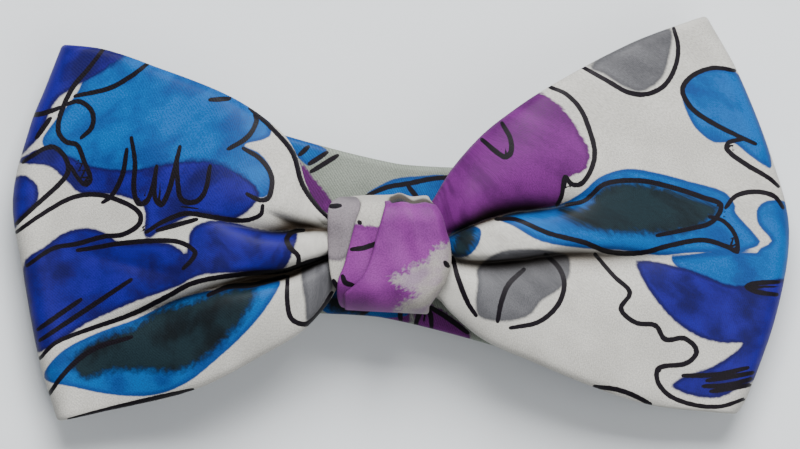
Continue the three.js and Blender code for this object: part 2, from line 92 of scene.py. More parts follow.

# %% [markdown]
# ## Drawing with smooth lines
#
# Every outline, fold and brush stroke starts as a few given points. A smooth line through them, as a
# draughtsman bends a spline, keeps the lists short and the curves fair. Each helper works on whole arrays of
# points at once, which is much faster than looping over a mesh.


# %% Smooth lines and distances
def smooth_line(points, closed=False, steps=6):
    """A fair curve through the points, a spline whose pull fits the spacing of its points."""
    points = np.array(points, float)
    if closed:
        padded = np.vstack([points[-1], points, points[0], points[1]])
    else:
        padded = np.vstack([2 * points[0] - points[1], points, 2 * points[-1] - points[-2]])
    share = np.linspace(0, 1, steps, endpoint=False)[:, None]
    pieces = []
    for before, start, end, after in zip(padded[:-3], padded[1:-2], padded[2:-1], padded[3:]):
        span = np.linalg.norm(end - start)
        leave = (end - before) / (span + np.linalg.norm(start - before)) * span
        arrive = (after - start) / (span + np.linalg.norm(after - end)) * span
        s2, s3 = share**2, share**3
        pieces.append((2 * s3 - 3 * s2 + 1) * start + (s3 - 2 * s2 + share) * leave
                      + (3 * s2 - 2 * s3) * end + (s3 - s2) * arrive)
    pieces.append(padded[1:2] if closed else padded[-2:-1])
    return np.vstack(pieces)


def shares_of(line):
    """How far along the line each of its points is, from 0 to 1."""
    lengths = np.r_[0, np.cumsum(np.linalg.norm(np.diff(line, axis=0), axis=1))]
    return lengths / lengths[-1]


def along(line, share):
    """Points of a line at shares of its length."""
    places = shares_of(line)
    return np.stack([np.interp(share, places, line[:, k]) for k in range(line.shape[1])], -1)


def smoothstep(low, high, value):
    share = np.clip((value - low) / (high - low), 0, 1)
    return share * share * (3 - 2 * share)


def nearest(line, x, y):
    """For each point: its offset from the line's nearest place, and how far along the line that place is."""
    best = np.full(x.shape, np.inf)
    off_x, off_y, share = np.zeros(x.shape), np.zeros(x.shape), np.zeros(x.shape)
    places = shares_of(line)
    for (ax, ay), (bx, by), start, end in zip(line[:-1], line[1:], places[:-1], places[1:]):
        length2 = (bx - ax) ** 2 + (by - ay) ** 2 + 1e-12
        s = np.clip(((x - ax) * (bx - ax) + (y - ay) * (by - ay)) / length2, 0, 1)
        dx, dy = x - ax - s * (bx - ax), y - ay - s * (by - ay)
        distance = dx * dx + dy * dy
        closer = distance < best
        best = np.where(closer, distance, best)
        off_x, off_y = np.where(closer, dx, off_x), np.where(closer, dy, off_y)
        share = np.where(closer, start + s * (end - start), share)
    return off_x, off_y, share


def inside_distance(outline, x, y):
    """Distance to a closed outline, positive inside it."""
    off_x, off_y, _ = nearest(outline, x, y)
    inside = np.zeros(x.shape, bool)
    for (ax, ay), (bx, by) in zip(outline[:-1], outline[1:]):
        if ay != by:
            crosses = ((ay > y) != (by > y)) & (x < (bx - ax) * (y - ay) / (by - ay) + ax)
            inside ^= crosses
    return np.hypot(off_x, off_y) * np.where(inside, 1, -1)


print("a test line of", len(smooth_line([(0, 0), (1, 2), (3, 1)])), "points")

# %% [markdown]
# ## The front bow's outline
#
# The front bow is one band of cloth sewn into a flat loop and squeezed at the waist. Seen from the front,
# each wing has a top edge and a bottom edge that spring from under the knot, and a slightly bowed outer
# end. The edges are drawn as they lie on the table, and the surface is spread between them.

# %% Outline of the wings
wings = {
    "left": {
        "way": -1,
        "top": [(-5, -1.9), (-10.8, 0), (-13.9, 3.3), (-15.3, 5.9), (-16.6, 10.2), (-19, 13.7),
                (-26.4, 18.8), (-38.9, 23.8), (-46, 26.2), (-52.4, 27)],
        "bottom": [(-5, -9.1), (-10.3, -11.2), (-11.7, -13.5), (-15.5, -17.6), (-20.5, -20.7),
                   (-31.8, -26.5), (-47.2, -30.3), (-53.1, -31.6)],
        "end": [(-53.5, -31.6), (-56.3, -22), (-58.8, -7.9), (-60.3, 3), (-57.6, 14.6), (-55.3, 20.5),
                (-52.8, 27)],
    },
    "right": {
        "way": 1,
        "top": [(2, -1), (5.4, 2.7), (8.3, 7.5), (12.3, 12.2), (15.6, 15.1), (22.6, 19.9), (36.1, 27.2),
                (47.7, 31.5)],
        "bottom": [(2, -10.2), (6.1, -12.4), (8.3, -14.8), (13.4, -19), (21.1, -22.4), (29.5, -25.9),
                   (39, -29), (52.5, -30.5)],
        "end": [(52.8, -30.5), (54.1, -28.3), (58.7, -14.8), (60.6, -1.9), (58.2, 8.6), (52.8, 22.8),
                (48, 31.6)],
    },
}


def wing_edges(wing):
    """The middle lines of a wing's top, bottom and end, inside the drawn outline, and the edges' slopes."""
    waist_top = (knot_x, knot_y + waist_height / 2)
    waist_bottom = (knot_x, knot_y - waist_height / 2)
    top = smooth_line([waist_top, *wing["top"]]) - (0, skin_radius)
    bottom = smooth_line([waist_bottom, *wing["bottom"]]) + (0, skin_radius)
    end = smooth_line(wing["end"]) - (wing["way"] * (fold_radius + skin_radius), 0)
    top[0, 1], bottom[0, 1] = waist_top[1], waist_bottom[1]
    edges, slopes = [], []
    for edge, corner_x in ((top, end[-1, 0]), (bottom, end[0, 0])):
        outwards = wing["way"] * edge[:, 0]
        inside = outwards < wing["way"] * corner_x - 0.1
        corner_y = np.interp(wing["way"] * corner_x, outwards, edge[:, 1])
        edges.append(np.vstack([edge[inside], (corner_x, corner_y)]))
        slopes.append((edge[-1, 1] - edge[-4, 1]) / (outwards[-1] - outwards[-4]))
    end[:, 1] = np.interp(end[:, 1], (end[0, 1], end[-1, 1]), (edges[1][-1, 1], edges[0][-1, 1]))
    return *edges, end, slopes


for wing in wings.values():
    wing["edges"] = wing_edges(wing)


def wing_plan(wing, t, v):
    """Plan position: t runs from the waist to the wing's end, v from the bottom edge to the top edge."""
    top, bottom, end, _ = wing["edges"]
    low, high = along(bottom, t), along(top, t)
    plan = low + v[..., None] * (high - low)
    straight = bottom[-1] + v[..., None] * (top[-1] - bottom[-1])
    bowed = np.interp(straight[..., 1], end[:, 1], end[:, 0]) - straight[..., 0]
    plan[..., 0] += t**3 * bowed
    return plan


print("wing spans", {name: round(float(np.ptp(wing["edges"][0][:, 0])), 1) for name, wing in wings.items()})

# %% [markdown]
# ## Folds
#
# Two long gathers run out of the knot on each side, deep and narrow at the knot and fading along the wing.
# The left wing also has two short creases beside them, and one soft hollow further out. Each is a valley
# that follows its own drawn line. Its section is a sharp dip that opens with distance, as pressed cloth
# does, and it can open more on one side than on the other.

# %% Lines of the folds
# Each fold: its line, then at even stations along it the depth and how wide it opens above and below, in
# millimetres.
folds = [
    ([(-4, -2.2), (-10.8, -2.2), (-15.2, -1.8), (-18, -2.1), (-21.4, -1.9), (-24.5, -1.2), (-30, -0.1)],
     [1.5, 3.4, 3.8, 3.4, 2.4, 1.4, 0], [0.8, 1, 1.1, 1.6, 2, 2, 2], [0.3, 0.3, 0.4, 0.6, 0.8, 1, 1.2]),
    ([(-14.4, -1.8), (-17.4, -0.5), (-21, 1)], [2, 1.6, 0], [0.4, 0.4, 0.5], [0.4, 1.4, 2]),
    ([(-4, -5.4), (-10.8, -5.9), (-14.3, -7.2), (-17.7, -8.4), (-22.8, -9.2), (-29.6, -10.9), (-38, -14),
      (-46, -17.2), (-52, -20)],
     [2.2, 4.8, 4.6, 3.6, 2.8, 2.4, 2, 1.2], [0.3, 0.3, 0.4, 0.5, 0.7, 0.8, 1, 1.2],
     [0.3, 0.6, 0.8, 1, 1.4, 1.8, 2, 2]),
    ([(-13.4, -7.4), (-17.7, -9), (-22.6, -10.2), (-27.5, -10.8)],
     [0, 2.8, 2.2, 0], [0.8, 1, 1.2, 1.2], [0.4, 0.3, 0.3, 0.5]),
    ([(-54, -4.5), (-48, -5.6), (-40, -7.5), (-33, -9)], [0, 1, 1.2, 0], [3, 3, 3, 3], [2, 2, 2, 2]),
    ([(3, -4.6), (7, -3.2), (12.6, -0.6), (17.3, 0.7), (24.2, 1.7), (31, 4)],
     [1.5, 3.4, 4.6, 4.2, 2.4, 0], [0.8, 1.2, 1.7, 2.2, 2.8, 3.2], [0.4, 0.4, 0.4, 0.5, 0.8, 1.5]),
    ([(3, -5.2), (7.3, -6), (12.3, -6.7), (18.1, -6.3), (25.1, -5.5), (33, -5.8), (42, -6.5), (50, -7)],
     [1.5, 3.2, 3.8, 3.6, 3.2, 2.2, 1, 0], [0.3, 0.3, 0.35, 0.4, 0.6, 1, 1.6, 2],
     [1.2, 1.8, 2.4, 2.8, 3, 3.4, 4, 5]),
]
fold_lines = [(smooth_line(line), *stations) for line, *stations in folds]
fold_bottom = 0.15  # how round the bottom of a valley is


def fold_depth(x, y):
    """How far the cloth is pressed in at each plan position."""
    pressed = np.zeros(x.shape)
    for line, depth, above, below in fold_lines:
        off_x, off_y, share = nearest(line, x, y)
        stations = np.linspace(0, 1, len(depth))
        wide = np.where(off_y > 0, np.interp(share, stations, above), np.interp(share, stations, below))
        distance = np.sqrt(off_x**2 + off_y**2 + fold_bottom**2) - fold_bottom
        pressed += np.interp(share, stations, depth) * np.exp(-distance / wide)
    return pressed


print("deepest fold", round(float(fold_depth(np.array([-14.3]), np.array([-6.8]))[0]), 2), "mm")

# %% [markdown]
# ## The loop's surface
#
# Both layers of the loop are computed as heights over the plan: the back layer sinks towards the table at
# the ends, and the front layer swells beside the knot and carries the folds. A half turn joins them at each
# end. A fold can only go as deep as the layer behind lets it, so its depth is stopped there. Its full drawn
# depth is kept to paint shade into the colour, darker deeper in each crease.


# %% Heights of the loop
sink_from, sink_to = 6, 56  # distances from the knot between which the back layer sinks
puff_height = 3.2
deepest_press = 5
least_gap = 0.15  # left between the two layers at the bottom of a fold


def back_height(x):
    drop = smoothstep(sink_from, sink_to, np.abs(x - knot_x))
    return loop_back_z + (end_lift - loop_back_z) * drop


def before_end(t):
    """1 along most of a wing, falling to 0 at its end, which lies flat."""
    return 1 - smoothstep(0.7, 1, t)


def front_height(x, y, t, v):
    rise = smoothstep(0.1, 0.9, t)
    base = loop_front_z * (1 - rise) + (back_height(x) + 2 * fold_radius) * rise
    away = np.abs(x - knot_x)
    swell = smoothstep(5, 13, away) * before_end(t)
    puff = (puff_height - 0.7 * smoothstep(15, 35, away)) * np.sin(np.pi * v) ** 0.6
    ripple = 0.25 * np.sin(0.31 * x + 0.17 * y) * np.sin(0.23 * y - 0.11 * x + 1)
    gathers = 0.15 * np.cos(6 * np.pi * v) * (1 - smoothstep(6, 12, away))
    return base + swell * (puff + ripple) + gathers


def front_press(wing, t, v, stopped):
    """How far the folds go into the front layer, where it is stopped by the layer behind or as drawn."""
    plan = wing_plan(wing, t, v)
    x, y = plan[..., 0], plan[..., 1]
    beside = smoothstep(5, 8.5, np.abs(x - knot_x))
    from_edges = np.minimum(1, 8 * v * (1 - v))
    deep = np.minimum(fold_depth(x, y), deepest_press) * before_end(t) * beside * from_edges
    if not stopped:
        return deep
    room = front_height(x, y, t, v) - back_height(x) - 2 * skin_radius - least_gap
    return np.minimum(deep, np.maximum(room, 0))


print("the wings' ends lie", round(float(end_lift), 2), "mm up")


# %% Once round the loop
def on_wing(wing, t, v, layer):
    plan = wing_plan(wing, t, v)
    x, y = plan[..., 0], plan[..., 1]
    z = front_height(x, y, t, v) if layer == "front" else back_height(x)
    return np.stack([x, y, z], -1)


def on_end(wing, v, angle):
    point = on_wing(wing, np.ones_like(v), v, "back")
    top_slope, bottom_slope = wing["edges"][3]
    point[..., 0] += wing["way"] * fold_radius * np.sin(angle)
    point[..., 1] += (bottom_slope + (top_slope - bottom_slope) * v) * fold_radius * np.sin(angle)
    point[..., 2] += fold_radius * (1 - np.cos(angle))
    return point


butt = 0.006  # half the gap where the band's two ends meet behind the waist, as a share of a wing
back_steps, end_steps, front_steps = 24, 8, 112
left, right = wings["left"], wings["right"]
loop_parts = [
    (back_steps, lambda s, v: on_wing(left, butt + (1 - butt) * s, v, "back")),
    (end_steps, lambda s, v: on_end(left, v, np.pi * s)),
    (front_steps, lambda s, v: on_wing(left, 1 - s, v, "front")),
    (front_steps, lambda s, v: on_wing(right, s, v, "front")),
    (end_steps, lambda s, v: on_end(right, v, np.pi * (1 - s))),
    (back_steps, lambda s, v: on_wing(right, 1 - (1 - butt) * s, v, "back")),
]
loop_steps = [steps for steps, _ in loop_parts]
loop_starts = np.r_[0, np.cumsum(loop_steps)]


def loop_middle(u, v):
    """The band's middle surface. u counts mesh columns once round the loop, v crosses the band."""
    u, v = np.broadcast_arrays(u, v)
    points = np.zeros(u.shape + (3,))
    part = np.clip(np.searchsorted(loop_starts, u, side="right") - 1, 0, len(loop_parts) - 1)
    for i, (steps, surface) in enumerate(loop_parts):
        chosen = part == i
        if chosen.any():
            points[chosen] = surface((u[chosen] - loop_starts[i]) / steps, v[chosen])
    return points


def loop_press(u, v, stopped=True):
    """The folds' depth over the whole loop, which only the two front parts have."""
    u, v = np.broadcast_arrays(u, v)
    depth = np.zeros(u.shape)
    for wing, i in ((left, 2), (right, 3)):
        share = (u - loop_starts[i]) / loop_steps[i]
        chosen = (share >= 0) & (share <= 1)
        t = share[chosen] if wing is right else 1 - share[chosen]
        depth[chosen] = front_press(wing, t, v[chosen], stopped)
    return depth


def widened(press, u, v, reach):
    """The deepest press within reach across the band, which keeps a hidden layer below the cloth over it."""
    shifts = reach * np.linspace(-1, 1, 7)
    return np.max([press(u, np.clip(v + shift, 0, 1)) for shift in shifts], axis=0)


print("the loop has", loop_starts[-1] + 1, "columns")

# %% [markdown]
# ## Folding a band
#
# A bow's band is one strip of cloth folded round a stiffening, its two long edges meeting in a slit behind.
# The rows of the mesh go once round that section: from the slit, round the lower edge, across the front and
# round the upper edge. Blender's Solidify modifier then gives the cloth its own thickness, inwards.


# %% The section of a folded band
def band_frame(middle, u, v, u_end):
    """The surface's points, its normals and the directions across it."""
    step_u, step_v = 0.02, 1e-3
    ahead, behind = np.minimum(u_end, u + step_u), np.maximum(0, u - step_u)
    over, under = np.minimum(1, v + step_v), np.maximum(0, v - step_v)
    lengthwise = middle(ahead, v) - middle(behind, v)
    lengthwise /= np.linalg.norm(lengthwise, axis=-1, keepdims=True)
    across = middle(u, over) - middle(u, under)
    normal = np.cross(lengthwise, across)
    normal /= np.linalg.norm(normal, axis=-1, keepdims=True)
    return middle(u, v), normal, np.cross(normal, lengthwise)


def section_rows(front_rows, back_rows, slit):
    """Rows round a folded band: where each is across the band, and how far it has turned to the back."""
    turn = np.radians([30, 60, 90, 120, 150])
    front = np.linspace(0, 1, front_rows + 1)
    back = np.linspace(0.5 - slit, 0, back_rows + 1)
    turned = np.full(back_rows + 1, np.pi)
    place = np.r_[back, 0 * turn, front, 0 * turn + 1, 1 - back[::-1]]
    angle = np.r_[turned, turn[::-1], 0 * front, turn, turned]
    return place, angle


def skin(middle, columns, place, angle, radius):
    """The outside of a folded cloth as a grid of points, at a radius round its middle surface."""
    u, v = np.meshgrid(np.arange(columns + 1.0), place, indexing="ij")
    points, normal, edge = band_frame(middle, u, v, columns)
    side = np.where(v < 0.5, -1, 1)[..., None]
    turn = angle[None, :, None]
    return points + radius * (np.cos(turn) * normal + np.sin(turn) * side * edge)


print("a thin band's section has", len(section_rows(4, 2, 0.01)[0]), "rows")


# %% Meshes from grids of points
def put(name, data):
    """Puts a new object in the scene."""
    piece = bpy.data.objects.new(name, data)
    bpy.context.scene.collection.objects.link(piece)
    return piece


def cloth_mesh(name, grids):
    """One smooth mesh from grids of points in millimetres."""
    quads, start = [], 0
    for points in grids:
        columns, rows = points.shape[:2]
        index = start + np.arange(columns * rows).reshape(columns, rows)
        corners = [index[:-1, :-1], index[1:, :-1], index[1:, 1:], index[:-1, 1:]]
        quads.append(np.stack(corners, -1).reshape(-1, 4))
        start += columns * rows
    vertices = np.vstack([points.reshape(-1, 3) for points in grids]) * MM
    mesh = bpy.data.meshes.new(name)
    mesh.from_pydata(vertices.tolist(), [], np.vstack(quads).tolist())
    mesh.shade_smooth()
    return put(name, mesh)


def thicken(piece, thick, offset=-1.0):
    solid = piece.modifiers.new("cloth_thickness", "SOLIDIFY")
    solid.thickness = thick * MM
    solid.offset = offset
    return piece


def store(piece, name, columns):
    """Writes three numbers for each point of a mesh, for its material to read."""
    values = np.stack([np.ravel(column) for column in columns], -1).astype(np.float32)
    attribute = piece.data.attributes.new(name, "FLOAT_VECTOR", "POINT")
    attribute.data.foreach_set("vector", values.ravel())


def cloth_lengths(points):
    """Distances along the grid's columns and rows, so that a weave keeps its scale over folds."""
    down = np.linalg.norm(np.diff(points, axis=0), axis=-1)
    over = np.linalg.norm(np.diff(points, axis=1), axis=-1)
    long_way = np.concatenate([np.zeros((1, points.shape[1])), np.cumsum(down, axis=0)])
    cross_way = np.concatenate([np.zeros((points.shape[0], 1)), np.cumsum(over, axis=1)], axis=1)
    return long_way, cross_way


print("the cloth is", cloth_thick, "mm thick, its stiffening", lining_thick, "mm")

# %% The front bow
front_columns = int(loop_starts[-1])
front_u = np.arange(front_columns + 1.0)[:, None]
front_v, front_turn = section_rows(front_rows=112, back_rows=18, slit=0.012)
front_points = skin(loop_middle, front_columns, front_v, front_turn, skin_radius)
under_side = np.isclose(front_turn, np.pi)
under_press = widened(loop_press, front_u, front_v, reach=0.03)
front_points[..., 2] -= np.where(under_side, under_press, loop_press(front_u, front_v))
# The full drawn depth of the folds, which paints shade into the colour in each crease.
front_shade = loop_press(front_u, front_v, stopped=False)
front_bow = thicken(cloth_mesh("front_bow_cloth", [front_points]), cloth_thick)
front_top = float(front_points[..., 2].max())
print("front bow:", len(front_bow.data.polygons), "faces, top at", round(front_top, 2))

# %% [markdown]
# ## The bow behind
#
# A flatter bow of the same band sits behind, turned a little clockwise and shifted up. Its middle shows
# above and below the knot, and its ends droop to the table. It is folded like the front band, and its two
# edges meet in a narrow slit along the middle of its back, where the clip is sewn over them.

# %% The rear bow
rear_centre_y = knot_y + 1.8
rear_half = (rear_high[0] - rear_low[0]) / 2 - 2
rear_turn = math.radians(-8)
rear_z = rear_high[2] - skin_radius
rear_columns = 150
rear_waist, rear_depth, rear_slope = 24, 38, 1.4
droop_from, droop_to, droop_slope = 23, 46, 1.3


def rear_middle(u, v):
    reach = 2 * u / rear_columns - 1
    half_span = (rear_waist + (rear_depth - rear_waist) * np.abs(reach) ** rear_slope) / 2 - skin_radius
    x, y = reach * rear_half, (2 * v - 1) * half_span
    plan_x = knot_x + x * math.cos(rear_turn) - y * math.sin(rear_turn)
    plan_y = rear_centre_y + x * math.sin(rear_turn) + y * math.cos(rear_turn)
    out = np.clip((np.abs(plan_x - knot_x) - droop_from) / (droop_to - droop_from), 0, 1)
    drop = out**droop_slope
    return np.stack([plan_x, plan_y, rear_z + (skin_radius - rear_z) * drop], -1)


rear_rows = section_rows(front_rows=64, back_rows=20, slit=0.007)
rear_points = skin(rear_middle, rear_columns, *rear_rows, skin_radius)
rear_bow = thicken(cloth_mesh("rear_bow_cloth", [rear_points]), cloth_thick)
print("rear bow:", len(rear_bow.data.polygons), "faces, from", rear_points.min((0, 1)).round(1))

# %% [markdown]
# ## Stiffening inside the bands
#
# A woven interlining keeps each band from going limp. It follows the middle of the folded cloth, so it is
# made from the same surface functions, and only its thickness is added. Its folds are a little wider than
# the cloth's, so that it stays hidden under them.


# %% Interlinings
def lining(name, middle, columns, rows, press=None):
    u, v = np.meshgrid(np.linspace(0, columns, 2 * rows + 1), np.linspace(0, 1, rows + 1), indexing="ij")
    points = middle(u, v)
    if press:
        points[..., 2] -= widened(press, u, v, reach=0.045)
    return thicken(cloth_mesh(name, [points]), lining_thick, 0)


front_lining = lining("front_bow_stiffening", loop_middle, front_columns, 90, loop_press)
rear_lining = lining("rear_bow_stiffening", rear_middle, rear_columns, 24)
print("interlinings made for both bows")

# %% [markdown]
# ## The knot
#
# The knot is a strip of the same cloth wound round the waist three times over, so its front shows three
# folds, one lapping over the next from left to right. Each lap is its own strip here: it follows the same
# path round the waist, a little further out than the lap below, and its left edge is folded under along a
# drawn line.

# %% The path round the waist
knot_thick = 0.8
knot_front_z = 17.48
knot_back_inner_z = wrap_low[2] + 1.35
knot_back_outer_z = wrap_low[2] + 0.4
knot_low, knot_high = wrap_low[1], wrap_high[1]
lap_length = 8
stage_at = [0, 0.12, 0.38, 0.6, 0.88, 1]  # shares at which the strip begins and ends its two turns


def knot_path(share, lift):
    """The strip's line round the waist (y, z) for shares from 0 to 1, moved outwards by lift."""
    low_turn = (knot_front_z - knot_back_inner_z) / 2
    high_turn = (knot_front_z - knot_back_outer_z) / 2
    low_y, high_y = knot_low + low_turn + knot_thick / 2, knot_high - high_turn - knot_thick / 2
    low_z, high_z = knot_front_z - low_turn, knot_front_z - high_turn
    part = np.clip(np.searchsorted(stage_at, share, side="right") - 1, 0, 4)
    start, end = np.array(stage_at)[part], np.array(stage_at)[part + 1]
    s = (share - start) / (end - start)
    low_angle, high_angle = np.pi * (1.5 - s), np.pi * (0.5 - s)
    stages = [part == stage for stage in range(4)]
    y = np.select(stages, [
        knot_y + lap_length / 2 + s * (low_y - knot_y - lap_length / 2),
        low_y + (low_turn + lift) * np.cos(low_angle),
        low_y + s * (high_y - low_y),
        high_y + (high_turn + lift) * np.cos(high_angle)],
        high_y + s * (knot_y - lap_length / 2 - high_y))
    z = np.select(stages, [
        knot_back_inner_z - lift + 0 * s,
        low_z + (low_turn + lift) * np.sin(low_angle),
        knot_front_z + lift + 0 * s,
        high_z + (high_turn + lift) * np.sin(high_angle)],
        knot_back_outer_z - lift)
    return y, z


# %% The laps and their edges
knot_left_edge = [(2.5, -10.7), (-0.7, -10.8), (-5.3, -10.7), (-8.7, -10.4), (-11, -10), (-12.8, -9.2)]
knot_right_edge = [(3, 4.6), (0.2, 6.2), (-2.3, 6.9), (-4.1, 7.4), (-7.1, 7.5), (-9.8, 6.7),
                   (-12.1, 5.3), (-13.8, 4.2)]
middle_lap_edge = [(3.4, -5.4), (1.5, -5.7), (-0.7, -6.5), (-4.1, -7.4), (-7.5, -8.3), (-10, -9.1),
                   (-13, -9.4)]
top_lap_edge = [(3.6, -1.3), (1.5, -2), (-1.6, -2.9), (-6.4, -4.2), (-9.6, -5.5), (-11.5, -6.8),
                (-13, -8.2)]
# Each lap: its left edge, how far out it lies, how far its top is pulled down, and the span of the path it
# covers.
laps = [
    {"edge": knot_left_edge, "lift": 0, "sink": 0, "span": (0, 1)},
    {"edge": middle_lap_edge, "lift": 0.75, "sink": 0.9, "span": (0.17, 0.84)},
    {"edge": top_lap_edge, "lift": 1.5, "sink": 2.3, "span": (0.19, 0.82)},
]
knot_top_rise = [(-11, -0.8), (-8, -0.8), (-5.6, -0.2), (-1.3, 0.1), (0, 0.8), (1.9, -1), (3.8, -0.3),
                 (5.2, -1), (8, -1.2)]
knot_bottom_rise = [(-11, 1.7), (-9.2, 1.5), (-4.2, 1), (1.7, 0.5), (4.2, 0.3), (8, 0.3)]
print("laps:", len(laps))


# %% A lap's surface
def by_height(line, y):
    """Reads a drawn edge: its x at each y."""
    smooth = smooth_line([(point[1], point[0]) for point in line])[::-1]
    order = np.argsort(smooth[:, 1])
    return np.interp(y, smooth[order, 1], smooth[order, 0])


def by_width(line, x):
    smooth = smooth_line(line)
    return np.interp(x, smooth[:, 0], smooth[:, 1])


lap_columns = 150
strip_left, strip_right = 6.5, 5.4  # how far the strip reaches from the waist's middle, behind it
knot_left_x, knot_width = -10.8, 18.3
crown_height = 1.3
lap_radius, lap_thick = 0.36, 0.3  # from a lap's middle to its outside, and its cloth


def lap_middle(lap):
    first, last = lap["span"]

    def surface(u, v):
        share = first + (last - first) * u / lap_columns
        bare_y, bare_z = knot_path(share, 0)
        front = smoothstep(knot_back_inner_z, knot_front_z, bare_z)
        y, z = knot_path(share, lap["lift"] * front)
        left_x = front * by_height(lap["edge"], y) + (1 - front) * (knot_x - strip_left)
        right_x = front * by_height(knot_right_edge, y) + (1 - front) * (knot_x + strip_right)
        x = right_x + v * (left_x - right_x)
        whole = np.clip((x - knot_left_x) / knot_width, 0, 1)
        crown = front * (1 - np.abs(2 * whole - 1) ** 2.6) - 0.9 * front * np.clip(1 - v * 9, 0, 1) ** 2
        to_top = smoothstep(knot_high - 2.2, knot_high + lap["lift"], y) * front
        to_bottom = smoothstep(knot_y - 1, knot_low, y) * front
        y = y + to_top * (by_width(knot_top_rise, x) - lap["sink"])
        y = y + to_bottom * by_width(knot_bottom_rise, x)
        pull = 0.25 * front * np.sin(1.1 * x + 0.5 * y) * (1 - np.abs(2 * v - 1))
        return np.stack([x, y, z + crown_height * crown + pull], -1)

    return surface


def lap_points(lap, rows=70, tucked=6):
    """A lap's skin: from under its left edge, round it, over the front, and round its right edge."""
    turn = np.radians([30, 60, 90, 120, 150, 180])
    front, under = np.linspace(0, 1, rows + 1), np.linspace(0, 0.14, tucked + 1)[1:]
    turned = np.full(tucked, np.pi)
    place = np.r_[under[::-1], 0 * turn, front, 0 * turn + 1, 1 - under]
    angle = np.r_[turned, turn[::-1], 0 * front, turn, turned]
    return skin(lap_middle(lap), lap_columns, place, angle, lap_radius)


lap_grids = [lap_points(lap) for lap in laps]
knot = thicken(cloth_mesh("knot_folds", lap_grids), lap_thick)
knot_front = max(float(grid[..., 2].max()) for grid in lap_grids)
print("knot:", len(knot.data.polygons), "faces, front at", round(knot_front, 2))

# %% [markdown]
# ## The painted print
#
# The cloth is printed with loose flowers: flat washes of colour with dark brush lines that do not quite
# match them. Each wash is a closed outline and each brush line an open one, drawn in plan, in millimetres.
# For every point of the mesh the script stores its distance to the washes and its offset to the nearest
# brush line, and the material turns these into paint with soft or crisp edges. This keeps the drawing sharp
# without any image.

